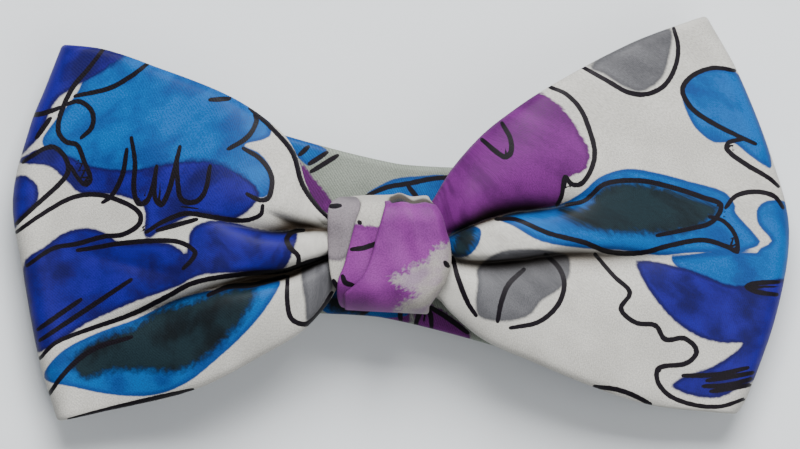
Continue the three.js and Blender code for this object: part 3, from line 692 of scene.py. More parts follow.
# %% Washes on the front bow
washes = {
    "cerulean": [
        [(-46, 27), (-50, 19.5), (-54, 14.5), (-55.5, 11.5), (-50.5, 7), (-41, 6), (-31, 6), (-24, 4),
         (-20.6, 3.2), (-19.6, 7), (-21.6, 10), (-24, 11.2), (-20, 12.6), (-20.5, 16), (-26, 22),
         (-36, 27)],
        [(-55.4, -24.8), (-52.5, -20.7), (-46.7, -17.7), (-40.9, -15.6), (-34.7, -12.6), (-29.6, -11.2),
         (-22.8, -10.5), (-18.4, -9.7), (-20.4, -13.6), (-23.8, -17.7), (-28.6, -22.1), (-33, -25.5),
         (-38.1, -27.4), (-44.3, -27.4), (-50.7, -26.2)],
        [(43.7, 18.6), (44, 21.1), (46.2, 22.7), (52, 22.9), (54.5, 18.6), (56.7, 12.8), (57.7, 7.7),
         (54.5, 9.5), (51.6, 11.7), (48.7, 11.7), (45.8, 13.9), (44.4, 16.4)],
        [(17.3, 0.9), (24.2, 2), (27.8, 3.8), (30.7, 6.3), (35, 7.6), (39.7, 7), (45.1, 5.6),
         (50.2, 4.1), (52, 2), (52, 0.9), (55.2, -2.7), (55.9, -4.1), (52.3, -5.2), (45.1, -5.4),
         (40.1, -5.8), (34.3, -5), (28.5, -4.7), (21.7, -3.6), (17.3, -1.2), (15.2, -0.2)],
        [(55.4, 1.5), (57.3, 2.8), (60.5, 2), (61, -8), (56, -6.5), (55.5, -5), (57.6, -3.6), (55.6, -1)],
        [(42, -6), (60.5, -6), (61, -10.5), (50, -11), (44, -8.5)],
        [(7.6, -2.7), (10.1, -1.2), (12.3, -1.6), (12.3, -3.4), (10.8, -5.6), (8.3, -5.9)],
    ],
    "cobalt": [
        [(-54, 28.5), (-42.5, 25.5), (-45, 23.2), (-49.5, 20.8), (-53.5, 18), (-56, 12.5), (-60.5, 9),
         (-60, 14), (-57, 20)],
        [(-59.5, 8.7), (-55, 11), (-51, 9.5), (-47.5, 8), (-41, 7.5), (-33, 9), (-27, 8.2), (-21.5, 3.8),
         (-25.5, -0.3), (-31, 0.6), (-36, -1.5), (-39.3, -3.2), (-39.6, 1.7), (-44.3, 3.6), (-49.5, 3.8),
         (-52, 6), (-54.5, 8)],
        [(-61, 5.5), (-58.5, 6.7), (-56.3, 5.2), (-56.2, 2.6), (-58, 0.6), (-60.5, -2)],
        [(-58.5, -7), (-55, -4.3), (-52, -2.2), (-48.4, -1.5), (-45.5, -2.3), (-43.5, -3.6), (-36, -3.8),
         (-33, -5.6), (-31.5, -9), (-41.5, -13.2), (-48.4, -16.3), (-57, -21), (-58, -14)],
        [(-32.7, -4.5), (-32, -1.6), (-29.3, -0.4), (-26, -0.6), (-21, -1.8), (-15.9, -2.1),
         (-16.5, -5.4), (-18, -7.9), (-24, -8.4), (-30, -8.7), (-33.5, -9.5)],
        [(36.6, -6.5), (37.2, -9), (39.3, -12.4), (42.3, -15.8), (46, -18.3), (50, -19.4), (53.2, -19.5),
         (48.8, -22.8), (43.8, -24.6), (42, -26), (45, -27.5), (49.3, -27.9), (53, -26.2), (56, -24.5),
         (60, -14), (60.5, -9.5), (52, -10.5), (45, -8)],
    ],
    "charcoal": [
        [(-51, -22.2), (-47.2, -19), (-41.2, -16.8), (-37.4, -14.2), (-32.3, -12.9), (-28.6, -11.4),
         (-22.2, -10.8), (-23.4, -14.6), (-26.8, -18.6), (-30.4, -21.8), (-34.7, -23.8), (-39.8, -23.6),
         (-45, -23.8), (-49, -25)],
        [(24.2, 2), (28.5, 1.6), (30.7, 4.5), (34.3, 5.6), (39.7, 5), (45.1, 3.4), (49.4, 1.6),
         (48, -0.5), (43.3, -2.3), (37.9, -2.5), (30.7, -2.1), (25.6, -0.2)],
        [(9.1, -1.5), (11.4, -1.6), (11.7, -3.4), (10.3, -5.9), (7.9, -6.1)],
    ],
    "purple": [
        [(21, 19.5), (25, 17), (27.5, 13.5), (29.2, 10), (28.4, 7.2), (25.6, 6), (24.4, 1.6), (18, 0.9),
         (11.5, -1.1), (4, -4.2), (2, 4), (10, 14), (16, 19)],
    ],
    "grey": [
        [(28.9, 23.4), (36.1, 27.4), (41.9, 29.4), (41.7, 25.1), (40.4, 21.5), (37.2, 19.5),
         (34.3, 20.4), (31.4, 22.2)],
        [(11.9, -7.7), (16.2, -4.9), (25.6, -5.6), (26.2, -8.5), (24.5, -11), (21.7, -12.8), (19.9, -15),
         (16.2, -15.9), (12.3, -15.3), (11.6, -13.2), (11.9, -9.9)],
        [(-15.2, -7.6), (-13.5, -6.7), (-10.9, -5.6), (-10.2, -10.2), (-12.2, -13.9), (-14.3, -16),
         (-14.6, -13.2)],
    ],
    "bare": [],
}
print("washes:", {colour: len(outlines) for colour, outlines in washes.items()})

# %% Brush lines on the front bow
brush_lines = [
    # The flower at the left wing's top corner.
    [(-46, 26.1), (-48.4, 23), (-50.7, 20.3), (-52.5, 16.5), (-53, 13.5), (-51.8, 11.8), (-50.1, 11.4),
     (-48.9, 8.7), (-47.9, 6), (-48.7, 5.1), (-50, 6.3), (-51, 8)],
    [(-39, 23.9), (-41.5, 22), (-45, 20.1), (-50.4, 18.9)],
    [(-51.8, 17.6), (-49.7, 18.1), (-47.7, 16.5), (-47.7, 14.1), (-49.4, 12.4)],
    [(-58.6, 16), (-55.5, 16.2), (-52.5, 17.2)],
    [(-56.5, 12.4), (-54.2, 15.5)],
    [(-58.6, 8.7), (-54.2, 11.1), (-52.1, 9.7), (-51.4, 7.3), (-52.8, 5.3), (-55.9, 2.5), (-59.6, -0.9)],
    [(-59.6, -2.2), (-55.2, 0.8), (-50.7, 3.2), (-46.7, 3.6), (-42.9, 2.5), (-40.2, 0.8), (-40.2, -0.9),
     (-42.9, -2.6), (-45.6, -2.8), (-50, -4), (-53.8, -4.7), (-57.9, -7.4)],
    [(-50, -5), (-46.7, -4.5), (-43.9, -4), (-38.1, -3.5), (-34, -3.7), (-31.5, -5.2), (-32, -6.4),
     (-33.4, -7.8)],
    # Its stamens.
    [(-42.2, 10.6), (-42.9, 6.6), (-44.6, 3.4), (-46, 2.4)],
    [(-41.5, 12.4), (-40.9, 8.6), (-41.1, 4.6), (-40.4, 2.2), (-39, 2.6), (-38, 5.4), (-37.5, 8)],
    [(-37.7, 6.6), (-37.8, 3.2), (-36.8, 2), (-35.6, 4.2), (-34.6, 8), (-33.9, 11)],
    [(-34.4, 9.4), (-34.2, 5.2), (-33.6, 2.8), (-31.6, 2.4), (-30, 4), (-29.2, 8)],
    # Petal edges towards the knot.
    [(-26.4, 10.6), (-23.5, 12.4), (-22.1, 14.8), (-22.4, 16.2)],
    [(-24.1, 10.7), (-21.4, 9), (-19.7, 6.3), (-20.1, 3.2), (-21.4, 2.7), (-23.5, 3.7)],
    [(-21.1, 1.9), (-21.4, 0.5), (-24.1, -0.4), (-29.3, 0.2), (-33, 0.7), (-36.4, -0.5), (-39.2, -2.2)],
    [(-31.3, -0.2), (-37.4, -1.9)],
    [(-29.3, 18.2), (-26.2, 18.4)],
    [(-23.1, 16.9), (-19.4, 13.5), (-16.5, 10), (-15.1, 5.3), (-13.1, 2.2), (-10.9, -0.1)],
    [(-14.9, -1.9), (-16.4, -2.1), (-17.4, -3.2), (-16.9, -4.5), (-15.6, -5.9), (-15.7, -7.4)],
    # The leaf below the fold.
    [(-55.9, -21.8), (-53.5, -19.4), (-48.4, -17.3), (-41.5, -14.9), (-36.1, -12.2), (-31.3, -9.8),
     (-22.8, -8.5), (-17.7, -8.1), (-14.3, -6.8), (-10.9, -5.9)],
    [(-29.6, -11.9), (-26.5, -10.6), (-22.6, -10.3), (-17.7, -9)],
    [(-54.7, -27.6), (-51.8, -23.8), (-47.7, -20.4), (-41.5, -18.4)],
    [(-56.2, -17.3), (-49.4, -12.6)],
    [(-55.9, -19), (-41.5, -9.5)],
    [(-51.4, -31.3), (-45, -29.6), (-38.1, -27.9), (-32, -26.5)],
    [(-17.3, -9.1), (-17.3, -13.2), (-16.6, -15.6), (-14.3, -16.3), (-11.9, -13.9), (-10.5, -11.5)],
    # The right wing's petals.
    [(23.1, 20.2), (25.6, 19.1), (27.8, 16.8), (29.2, 13.5), (30, 9.9), (29.2, 7), (27.8, 5.2),
     (26.4, 5.2), (25.4, 6.3), (24.9, 3.4), (24.2, 2)],
    [(12.6, 12.1), (15.9, 9.4), (17, 9.9), (17, 12.1), (15.7, 14.6)],
    [(28, 23.4), (32.1, 21.1), (35, 19.5), (37.9, 19.1), (40.8, 20.4), (42.6, 23.3), (43.1, 26.5),
     (42.4, 29.4)],
    [(52, 22.9), (48.7, 23.3), (45.5, 22.2), (43.7, 20), (45.1, 17.1), (48, 15), (52.3, 12.8),
     (55.2, 11.5)],
    [(53.4, 12.3), (50.9, 11.7), (50.7, 10.6), (53.4, 8.5), (57.4, 6.1), (58.8, 4.9)],
    # The long leaf along the right fold.
    [(25.6, 2), (28.5, 2.7), (31.4, 5.2), (36.5, 5.8), (41.5, 4.9), (46.9, 3.2), (49.8, 2), (48.4, -0.6),
     (45.1, -1.6), (39.7, -2.7)],
    [(14.8, -0.2), (17.7, -0.2), (22.7, -2.3), (28.5, -3.8), (32.1, -5.2), (37.2, -5.4), (41.5, -4.3),
     (46.9, -3.4), (50.9, -4.5), (52.3, -5.2), (52, -2.7), (50.2, -0.5), (48, 0.2)],
    [(50.5, 1.6), (52, 3.4), (55.2, 4.1), (58.1, 3.4), (59.5, 1.6)],
    # The scalloped petal at the right wing's lower corner.
    [(30.1, -5.6), (33, -9), (35.5, -11.5), (34, -14), (36.5, -16.2), (39.5, -16.6), (41, -18.8),
     (44, -18.6), (46, -20.6), (44.4, -22.5), (40, -23.2), (39.9, -25.4), (41.9, -27.6), (45.8, -29),
     (49.8, -29.2), (53.4, -28.1)],
    [(58.8, -9.9), (55.2, -10.1), (53.8, -10.6), (55.6, -11.5), (58.6, -11.9)],
    [(43.8, -24.4), (49, -24.3), (54, -23.2)],
    [(47.6, -25.2), (54.9, -24)],
    [(47, -26.1), (51, -25.9), (54.6, -24.9)],
    [(48.2, -26.9), (54.4, -25.9)],
    [(22.4, -5.6), (24.5, -7.7), (25.3, -10.3), (24.2, -13.5), (21.3, -16), (17, -16.9)],
    [(19.1, -7.9), (16.6, -10.3), (15.5, -13.2), (15, -15.9)],
    [(8.1, -6.1), (9, -9.5), (10.5, -13.2), (11.7, -15)],
    [(30, -26), (33.6, -26.5), (36.1, -27.4), (38.8, -28.8)],
]
print("brush lines:", len(brush_lines))

# %% Washes and brush lines on the rear bow and the knot
rear_washes = {
    "cerulean": [
        [(-19, 13), (-11.3, 10.6), (-14.1, 8.1), (-16.1, 9.7)],
        [(-5.1, 3.6), (-3.8, 4.7), (-0.8, 6.1), (2.6, 6.5), (7.8, 6.4), (9, 3.1), (0, 1)],
        [(-13, -12), (-11, -15), (1, -15.2), (1, -12.6), (-6, -11)],
        [(-40, 4), (-30, 9), (-24, 2), (-29, -6), (-38, -5)],
    ],
    "cobalt": [[(20, -12), (28, -8), (38, -14), (36, -26), (24, -24)], [(-46, 16), (-34, 15), (-28, 20),
                                                                        (-44, 25)]],
    "charcoal": [[(-12, -12), (-10.4, -14.6), (-5, -15), (-6, -12.6)], [(-37, 2), (-31, 5), (-28, 0),
                                                                        (-33, -3)]],
    "purple": [
        [(-15.7, 9.1), (-14.2, 7.2), (-12.4, 5), (-10.7, 2.7), (-10.8, 0.6), (-13.3, 2.2), (-14.7, 5),
         (-15.4, 6.8)],
        [(-7, -13.9), (1.2, -13.6), (1, -16.6), (-7, -15)],
        [(3, -13.2), (6, -14), (11, -18), (10, -19.5), (2.6, -17.6)],
        [(22, 8), (32, 10), (40, 2), (34, -6), (24, -2)],
    ],
    "grey": [[(30, -14), (40, -12), (44, -22), (34, -24)]],
    "bare": [],
}
rear_lines = [
    [(-15.6, 9.8), (-14.2, 11.1)],
    [(-14.1, 8.4), (-11.3, 10.2)],
    [(-13.8, 7.2), (-9.7, 9.7)],
    [(-5.1, 3.5), (-2, 4.8), (1.5, 5.4), (4.9, 6.1), (8.6, 6.4)],
    [(1.2, 5), (3, 2.8)],
    [(4.4, -13.7), (7.1, -15.3), (10.5, -17.8)],
    [(-0.1, -13.5), (0.1, -15.9)],
    [(2.4, -16.6), (3.3, -14.4), (4.6, -14.6), (4.9, -17)],
    [(-6, -15), (-4, -13.6), (-2, -13.4)],
    [(-30, 9.6), (-24, 2), (-29, -6.6), (-38, -5.4), (-40, 4)],
    [(22, 8.6), (33, 10), (40, 2), (33, -6.4)],
    [(20, -11), (28, -8), (38.6, -14), (37, -24)],
]
no_wash = {colour: [] for colour in washes}
lap_washes = [
    no_wash | {"grey": [[(-13, 5), (4, 5.5), (2, -2), (-6, -4), (-9, -6.6), (-13, -5.2)]]},
    no_wash | {"purple": [[(-12, -1.2), (-3, -1.4), (4, -1), (4, -15), (-12, -16)]]},
    no_wash | {
        "purple": [[(-12, 3.1), (8, 2.6), (12, -6), (9, -16), (-12, -17)]],
        "bare": [[(9, -3.6), (6.9, -3.9), (5.3, -4.6), (4, -6.4), (1.7, -7.3), (1, -8.2), (-1, -8.7),
                  (-1.3, -9.8), (0.6, -10.9), (2.4, -11.6), (0.6, -12.6), (-1, -14.4), (4.2, -16),
                  (10, -12)]],
    },
]
lap_lines = [
    [[(-10.7, 1.8), (-9.2, 1.9)], [(-10.2, -9.6), (-9.4, -11.2)]],
    [[(-7.4, -4.8), (-5.6, -4.6), (-3.4, -3.8)], [(-8.8, -8.9), (-8.4, -9.9), (-7.2, -10.3)],
     [(-6.3, -0.6), (-6.1, -0.8)]],
    [[(-1.2, 2.6), (0.2, 2.9), (1.7, 2.7)], [(6.9, -6.8), (7.4, -7.4)]],
]
print("rear bow:", len(rear_lines), "lines; knot:", [len(lines) for lines in lap_lines])


# %% Store the print on the cloth
well_outside = -20.0
far_away = 60.0


def wash_distance(outlines, x, y):
    """Distance inside the nearest of several washes, and well outside where there is none."""
    distance = np.full(x.shape, well_outside)
    for outline in outlines:
        distance = np.maximum(distance, inside_distance(smooth_line(outline, closed=True, steps=4), x, y))
    return distance


def brush_layers(lines, count=3):
    """Shares brush lines out so that lines which cross or crowd each other are kept apart."""
    layers = [[] for _ in range(count)]
    for line in lines:
        drawn = smooth_line(line, steps=4)
        room = []
        for layer in layers:
            gaps = [np.hypot(*nearest(other, drawn[:, 0], drawn[:, 1])[:2]).min() for other in layer]
            room.append(min(gaps, default=far_away))
        layers[int(np.argmax(room))].append(drawn)
    return layers


def brush_offset(lines, x, y, half_width=0.4):
    """Offset to the nearest brush line, in half widths of the brush, which thins at a line's ends."""
    best = np.full(x.shape, far_away)
    offset = [np.full(x.shape, far_away), np.zeros(x.shape)]
    for line in lines:
        off_x, off_y, share = nearest(line, x, y)
        half = half_width * (0.7 + 0.3 * np.sin(np.pi * np.clip(share, 0, 1)) ** 0.5)
        distance = np.hypot(off_x, off_y) / half
        closer = distance < best
        best = np.where(closer, distance, best)
        offset = [np.where(closer, off / half, kept) for off, kept in zip((off_x, off_y), offset)]
    return [*offset, best]


wash_stores = {"wash_a": ("cerulean", "cobalt", "charcoal"), "wash_b": ("purple", "grey", "bare")}
brush_stores = ("brush_a", "brush_b", "brush_c")


def print_cloth(piece, parts):
    """Prints the parts of a cloth piece, each a grid of points, washes, brush lines and the fold depth that
    paints shade into its creases.
    """
    kept = {name: [] for name in (*wash_stores, *brush_stores, "cloth")}
    for points, drawn, lines, depth in parts:
        x, y = points[..., 0], points[..., 1]
        for name, colours in wash_stores.items():
            kept[name].append([wash_distance(drawn[colour], x, y) for colour in colours])
        for name, layer in zip(brush_stores, brush_layers(lines)):
            kept[name].append(brush_offset(layer, x, y))
        # The third number is a fold's depth, which the material turns into painted shade in the crease.
        kept["cloth"].append([*cloth_lengths(points), depth + np.zeros(x.shape)])
    for name, rows in kept.items():
        store(piece, name, [np.concatenate([np.ravel(row[k]) for row in rows]) for k in range(3)])


# Painted shade on the knot: each lap is darkened along the edge of the lap above it.
lap_shade, lap_shade_width = 3.4, 0.5
knot_side_z, knot_face_z = 14, 17


def shade_under_next_lap(grid, lap_number):
    """Painted shade on a lap's cloth beside the lap above it, given as a fold depth for the material to
    darken.
    """
    if lap_number == len(laps) - 1:
        return 0.0
    gap = by_height(laps[lap_number + 1]["edge"], grid[..., 1]) - grid[..., 0]
    on_face = smoothstep(knot_side_z, knot_face_z, grid[..., 2])
    return lap_shade * np.exp(-np.maximum(gap, 0) / lap_shade_width) * on_face


lap_shades = [shade_under_next_lap(grid, lap_number) for lap_number, grid in enumerate(lap_grids)]
print_cloth(front_bow, [(front_points, washes, brush_lines, front_shade)])
print_cloth(rear_bow, [(rear_points, rear_washes, rear_lines, 0.0)])
print_cloth(knot, list(zip(lap_grids, lap_washes, lap_lines, lap_shades)))
print("printed", front_bow.name, rear_bow.name, knot.name)

# %% [markdown]
# ## Cloth that takes paint
#
# The cloth is a smooth satin twill: fine diagonal ribs, a soft sheen, and colour that sinks in unevenly.
# The material reads the stored distances, wobbles them with a little noise so that no edge is ruled, and
# lays the washes over each other in the printer's order, with the brush lines last. The stored depth of a
# fold then paints shade into its crease. A fine ripple along the diagonal of the cloth's own lengths becomes
# the weave.


# %% Node helpers
def linear(red, green, blue):
    """A colour picked on screen (0 to 255), as the light values that a shader wants."""
    shares = [value / 255 for value in (red, green, blue)]
    return (*[s / 12.92 if s <= 0.04045 else ((s + 0.055) / 1.055) ** 2.4 for s in shares], 1)


def new_material(name):
    material = bpy.data.materials.new(name)
    material.use_nodes = True
    return material, material.node_tree, material.node_tree.nodes["Principled BSDF"]


def add(tree, kind, inputs, output=0, **settings):
    """Adds a node, sets it up with values or other nodes' outputs, and gives back one of its outputs."""
    made = tree.nodes.new("ShaderNode" + kind)
    for key, value in settings.items():
        setattr(made, key, value)
    for name, value in inputs.items():
        if isinstance(value, bpy.types.NodeSocket):
            tree.links.new(value, made.inputs[name])
        else:
            made.inputs[name].default_value = value
    return made.outputs[output]


def maths(tree, operation, *values):
    return add(tree, "Math", dict(enumerate(values)), operation=operation)


def plus(tree, one, other):
    return maths(tree, "ADD", one, other)


def times(tree, one, other):
    return maths(tree, "MULTIPLY", one, other)


def noise(tree, place, scale, detail):
    return add(tree, "TexNoise", {"Vector": place, "Scale": scale, "Detail": detail})


def ramp(tree, value, low, high, to_low=0.0, to_high=1.0):
    ends = {"From Min": low, "From Max": high, "To Min": to_low, "To Max": to_high}
    return add(tree, "MapRange", {"Value": value, **ends}, interpolation_type="SMOOTHSTEP")


def blend(tree, share, below, above):
    made = tree.nodes.new("ShaderNodeMix")
    made.data_type = "RGBA"
    for socket, value in ((made.inputs[0], share), (made.inputs[6], below), (made.inputs[7], above)):
        if isinstance(value, bpy.types.NodeSocket):
            tree.links.new(value, socket)
        else:
            socket.default_value = value
    return made.outputs[2]


def stored(tree, name):
    """The three numbers stored on the mesh under a name."""
    vector = add(tree, "Attribute", {}, output="Vector", attribute_name=name)
    split = tree.nodes.new("ShaderNodeSeparateXYZ")
    tree.links.new(vector, split.inputs[0])
    return split.outputs


print("middle grey as light", [round(c, 3) for c in linear(128, 128, 128)])

# %% Weave
weave_pitch = 0.34  # millimetres from rib to rib
rib_direction = (0.82, 0.57)  # along and across the cloth


def weave(tree):
    """Height of the diagonal ribs, with the odd thicker thread, and the place on the cloth."""
    lengthwise, crosswise, _ = stored(tree, "cloth")
    steps = [times(tree, way, share) for way, share in zip((lengthwise, crosswise), rib_direction)]
    diagonal = plus(tree, *steps)
    place = add(tree, "CombineXYZ", {0: lengthwise, 1: crosswise, 2: 0.0})
    drift = times(tree, noise(tree, place, 0.9, 2), 3.0)
    phase = plus(tree, times(tree, diagonal, 2 * math.pi / weave_pitch), drift)
    return maths(tree, "SINE", phase), place


print("ribs every", weave_pitch, "mm")

# %% Printed satin
# Each wash: which stored number it reads, its colours where the paint is thin and where it has pooled, how
# soft its edge is and how far the edge wanders (millimetres).
wash_order = [
    ("grey", "wash_b", 1, (82, 82, 85), (68, 68, 71), 0.3, 0.15),
    ("purple", "wash_b", 0, (87, 24, 93), (68, 14, 74), 0.25, 0.5),
    ("cerulean", "wash_a", 0, (2, 75, 136), (0, 52, 108), 0.14, 0.08),
    ("cobalt", "wash_a", 1, (20, 12, 106), (7, 3, 64), 0.22, 0.2),
    ("charcoal", "wash_a", 2, (15, 31, 37), (6, 13, 17), 0.9, 1.0),
    # The bare patch, used only on the knot, is painted darker than the cloth's ground, as painted shade.
    ("bare", "wash_b", 2, (136, 132, 126), (118, 102, 118), 0.5, 0.8),
]
ink_thin, ink_full = linear(12, 3, 16), linear(3, 1, 5)


def around_zero(tree, value, size):
    """A noise value moved to vary about zero over a size."""
    return times(tree, maths(tree, "SUBTRACT", value, 0.5), size)


def lay_washes(tree, colour, place, wander, patches, paints):
    """Lays the washes over the ground in order. Cobalt bleeds softly where it lies inside wet cerulean."""
    distances = {name: stored(tree, name) for name in wash_stores}
    wet = ramp(tree, distances["wash_a"][0], 1.2, 3.5, 1, 3.2)
    for wash, store_name, k, thin, pooled, soft, wanders in wash_order:
        thin, pooled = paints.get(wash, (thin, pooled))
        offset = around_zero(tree, wander, 2 * wanders)
        if wash == "bare":
            offset = plus(tree, offset, around_zero(tree, noise(tree, place, 1.6, 1), 2.6))
        if wash == "cobalt":
            offset = times(tree, offset, wet)
        depth = plus(tree, distances[store_name][k], offset)
        edge = maths(tree, "DIVIDE", depth, wet) if wash == "cobalt" else depth
        pooling = maths(tree, "MAXIMUM", ramp(tree, patches, 0.38, 0.66), ramp(tree, depth, 1.1, 0.2))
        paint = blend(tree, pooling, linear(*thin), linear(*pooled))
        colour = blend(tree, ramp(tree, edge, -soft, soft), colour, paint)
    return colour


def lay_brush_lines(tree, colour, wander, threads):
    """Lays the ink over the washes, out to one half width of the brush from its lines."""
    reach = 9.0
    for name in brush_stores:
        off_x, off_y, near = stored(tree, name)
        squares = plus(tree, times(tree, off_x, off_x), times(tree, off_y, off_y))
        apart = maths(tree, "MAXIMUM", maths(tree, "SQRT", squares), maths(tree, "SUBTRACT", near, 1.2))
        reach = maths(tree, "MINIMUM", reach, apart)
    rough_edge = plus(tree, reach, around_zero(tree, wander, 0.45))
    ink = blend(tree, ramp(tree, threads, 0.4, 0.7), ink_full, ink_thin)
    return blend(tree, ramp(tree, rough_edge, 1.18, 0.86), colour, ink)


print("washes in order:", [wash for wash, *_ in wash_order])

# %% The satin's painted crease shade, weave and gloss
# Painted shade: the colour goes towards the crease shade as the stored fold depth grows.
crease_begins, crease_full = 0.8, 3.6  # millimetres of fold depth
crease_shade = linear(82, 70, 58)
no_shade = (1, 1, 1, 1)


def cloth_colour(tree, colour, ribs, threads, rib_contrast):
    """Paints shade into the creases, darker where a fold is deeper, and makes the colour uneven from thread
    to thread and rib to rib.
    """
    fold_depth_here = stored(tree, "cloth")[2]
    creased = ramp(tree, fold_depth_here, crease_begins, crease_full)
    shade = blend(tree, creased, no_shade, crease_shade)
    colour = add(tree, "VectorMath", {0: colour, 1: shade}, operation="MULTIPLY")
    speckle = ramp(tree, threads, 0.3, 0.7, 0.8, 1.16)
    ribbed = ramp(tree, ribs, -1, 1, 1 - rib_contrast, 1 + rib_contrast)
    uneven = times(tree, speckle, ribbed)
    return add(tree, "VectorMath", {0: colour, "Scale": uneven}, operation="SCALE")


def finish_surface(tree, shader, colour, rough, height, strength, distance):
    """Links the colour, the roughness and a bump to the shader."""
    bump = add(tree, "Bump", {"Height": height, "Strength": strength, "Distance": distance})
    tree.links.new(colour, shader.inputs["Base Color"])
    tree.links.new(bump, shader.inputs["Normal"])
    tree.links.new(rough, shader.inputs["Roughness"])


def printed_satin(name, ground=(170, 168, 162), rib_contrast=0.015, paints=None):
    material, tree, shader = new_material(name)
    ribs, place = weave(tree)
    wander = noise(tree, place, 1.1, 4)
    patches = noise(tree, place, 0.16, 3)
    threads = noise(tree, place, 4.2, 3)
    greyer = [value - 8 for value in ground]
    colour = blend(tree, ramp(tree, patches, 0.35, 0.65), linear(*ground), linear(*greyer))
    colour = lay_washes(tree, colour, place, wander, patches, paints or {})
    colour = lay_brush_lines(tree, colour, wander, threads)
    colour = cloth_colour(tree, colour, ribs, threads, rib_contrast)
    height = plus(tree, ribs, times(tree, threads, 1.6))
    rough = ramp(tree, threads, 0.3, 0.7, 0.5, 0.62)
    finish_surface(tree, shader, colour, rough, height, 0.14, 0.00003)
    shader.inputs["Sheen Weight"].default_value = 0.03
    shader.inputs["Sheen Roughness"].default_value = 0.4
    shader.inputs["Specular IOR Level"].default_value = 0.14
    return material


def cover(piece, material):
    piece.data.materials.clear()
    piece.data.materials.append(material)


satin = printed_satin("printed_satin")
# The cloth behind is greenish grey, and its ground is painted darker still, as painted shade under the front
# bow.
rear_satin = printed_satin("printed_satin_behind", (114, 120, 111), rib_contrast=0.14)
# The knot's ground is painted darker than the front bow's, as painted shade; its grey and purple washes are
# lighter.
knot_paints = {"grey": ((112, 105, 110), (92, 86, 91)), "purple": ((108, 43, 112), (90, 32, 95))}
knot_satin = printed_satin("printed_satin_knot", (158, 155, 149), paints=knot_paints)
for piece, material in ((front_bow, satin), (rear_bow, rear_satin), (knot, knot_satin)):
    cover(piece, material)
print("printed satin has", len(satin.node_tree.nodes), "nodes")

# %% [markdown]
# ## The plain materials
#
# The stiffening is a matt, off-white fusible cloth with a coarse plain weave. The sewing thread is two fine
# strands twisted together. The clip is pressed steel with a thin nickel plate: bright, a little cloudy,
# faintly scratched along its length. Its spring is bare spring steel.


# %% Stiffening, thread and steel
def object_place(tree):
    return add(tree, "TexCoord", {}, output="Object")


def waves(tree, place, scale, distortion, direction):
    """Even stripes across one direction."""
    inputs = {"Vector": place, "Scale": scale, "Distortion": distortion}
    return add(tree, "TexWave", inputs, output=1, bands_direction=direction)


def stiffening():
    material, tree, shader = new_material("stiffening")
    place = object_place(tree)
    weft, warp = [waves(tree, place, 420.0, 1.5, direction) for direction in ("X", "Y")]
    cross = maths(tree, "MAXIMUM", weft, warp)
    colour = blend(tree, cross, linear(206, 200, 186), linear(236, 232, 222))
    finish_surface(tree, shader, colour, ramp(tree, cross, 0, 1, 0.95, 0.82), cross, 0.5, 0.0001)
    return material


def twisted_thread():
    material, tree, shader = new_material("twisted_thread")
    place = object_place(tree)
    twist = waves(tree, place, 900.0, 0.6, "DIAGONAL")
    fuzz = ramp(tree, noise(tree, place, 4000, 2), 0.55, 0.8)
    strand = blend(tree, twist, linear(30, 26, 44), linear(70, 64, 92))
    colour = blend(tree, fuzz, strand, linear(96, 90, 116))
    finish_surface(tree, shader, colour, ramp(tree, twist, 0, 1, 0.72, 0.55), twist, 0.6, 0.00008)
    shader.inputs["Sheen Weight"].default_value = 0.3
    return material


def steel(name, clean, cloudy, rough_low, rough_high, grain):
    material, tree, shader = new_material(name)
    place = object_place(tree)
    stretched = add(tree, "Mapping", {"Vector": place, "Scale": (grain, 2200.0, 2200.0)})
    scratches = noise(tree, stretched, 1.0, 4)
    clouds = noise(tree, place, 260, 4)
    colour = blend(tree, ramp(tree, clouds, 0.35, 0.7), linear(*clean), linear(*cloudy))
    scratched = ramp(tree, scratches, 0.3, 0.7, rough_low, rough_high)
    dull = times(tree, ramp(tree, clouds, 0.3, 0.7, 0.8, 1.25), scratched)
    finish_surface(tree, shader, colour, dull, scratches, 0.12, 0.00005)
    shader.inputs["Metallic"].default_value = 1
    return material


fleece, thread = stiffening(), twisted_thread()
nickel = steel("nickel_plate", (214, 212, 206), (186, 184, 180), 0.2, 0.34, 90)
spring_steel = steel("spring_steel", (168, 170, 174), (132, 134, 140), 0.28, 0.42, 400)
for piece in (front_lining, rear_lining):
    cover(piece, fleece)
carried_over = {
    "knot_interlining": fleece,
    "waist_binding_thread": thread,
    "knot_closing_stitch": thread,
    "clip_stitch_jaw_end": thread,
    "clip_stitch_lever_end": thread,
    "clip_base": nickel,
    "clip_lever": nickel,
    "clip_pin": nickel,
}
for node, material in carried_over.items():
    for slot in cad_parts[node].material_slots:
        slot.material = material
print("materials given to", len(carried_over), "frame pieces")

# %% [markdown]
# ## The clip's spring
#
# The coil sits on the clip's pin. One of its legs presses on the base and the other on the lever, so a
# squeeze winds it up. A copy of the frame's spring, in spring steel, takes the place of the frame's own.

# %% A copy of the spring
coil_spring = put("clip_coil_spring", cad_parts["clip_spring"].data.copy())
cover(coil_spring, spring_steel)
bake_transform(coil_spring)
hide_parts("clip_spring")

# %% [markdown]
# ## Riding on the bow
#
# Cloth pieces ride on the bow and take the place of the plain solids. Both bands are cut twice as tall as
# they show, since they are folded double.

# %% Ride and replace
pieces_for = {
    "front_bow": (front_bow, "printed_cloth"),
    "rear_bow": (rear_bow, "printed_cloth"),
    "knot_wrap": (knot, "knot_cloth"),
    "front_bow_interlining": (front_lining, "interlining"),
    "rear_bow_interlining": (rear_lining, "interlining"),
}
for node, (piece, slot_name) in pieces_for.items():
    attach(piece, "bow")
    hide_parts(node)
print("declared", [piece.name for piece, _ in pieces_for.values()])

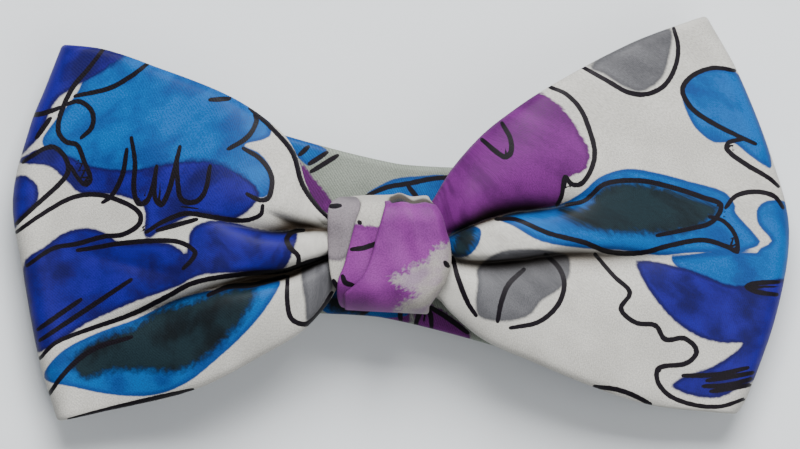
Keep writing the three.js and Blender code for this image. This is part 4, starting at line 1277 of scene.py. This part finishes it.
# %% [markdown]
# ## Table, light and camera
#
# The tie lies on a plain pale table under a wide soft light, brighter from above the bow, so that a thin
# soft shadow falls under its lower edges. The camera looks straight down.

# %% Table
half_table = 1.5
corners = [(x * half_table, y * half_table, 0) for x, y in ((-1, -1), (1, -1), (1, 1), (-1, 1))]
table_mesh = bpy.data.meshes.new("table")
table_mesh.from_pydata(corners, [], [(0, 1, 2, 3)])
table = put("table", table_mesh)
table.location.z = -0.0001
table_material, table_tree, table_shader = new_material("pale_table")
smudges = noise(table_tree, object_place(table_tree), 3, 2)
table_colour = blend(table_tree, smudges, linear(203, 207, 210), linear(210, 213, 215))
table_tree.links.new(table_colour, table_shader.inputs["Base Color"])
table_shader.inputs["Roughness"].default_value = 0.32
table_shader.inputs["Specular IOR Level"].default_value = 0.5
cover(table, table_material)
print("table", 2 * half_table, "m across")


# %% Lights
def soft_light(name, place, size, power, aim=(0, 0, 0.01)):
    light = bpy.data.lights.new(name, "AREA")
    light.shape = "RECTANGLE"
    light.size, light.size_y = size
    light.energy = power
    lamp = put(name, light)
    lamp.location = place
    lamp.rotation_euler = (Vector(aim) - Vector(place)).to_track_quat("-Z", "Y").to_euler()


soft_light("key", (0.05, 0.42, 0.54), (0.44, 0.34), 12)
soft_light("fill", (0.5, -0.3, 0.7), (0.8, 0.8), 4.5)
world = bpy.data.worlds.new("pale_room")
world.use_nodes = True
room_light = world.node_tree.nodes["Background"].inputs
room_light["Color"].default_value = (0.93, 0.96, 1, 1)
room_light["Strength"].default_value = 0.34
bpy.context.scene.world = world
print("lit by a key light, a fill light and a pale room")

# %% Camera
camera_height = 0.9
face_height = 0.01  # of the wings' faces, where the width below is shown
shown_width = 0.124
sensor_width = 36
camera_data = bpy.data.cameras.new("camera")
camera_data.sensor_width = sensor_width
camera_data.lens = sensor_width * (camera_height - face_height) / shown_width
camera = put("camera", camera_data)
camera.location = (0, -0.001, camera_height)
bpy.context.scene.camera = camera
print("camera at", camera_height, "m with a", round(camera_data.lens), "mm lens")
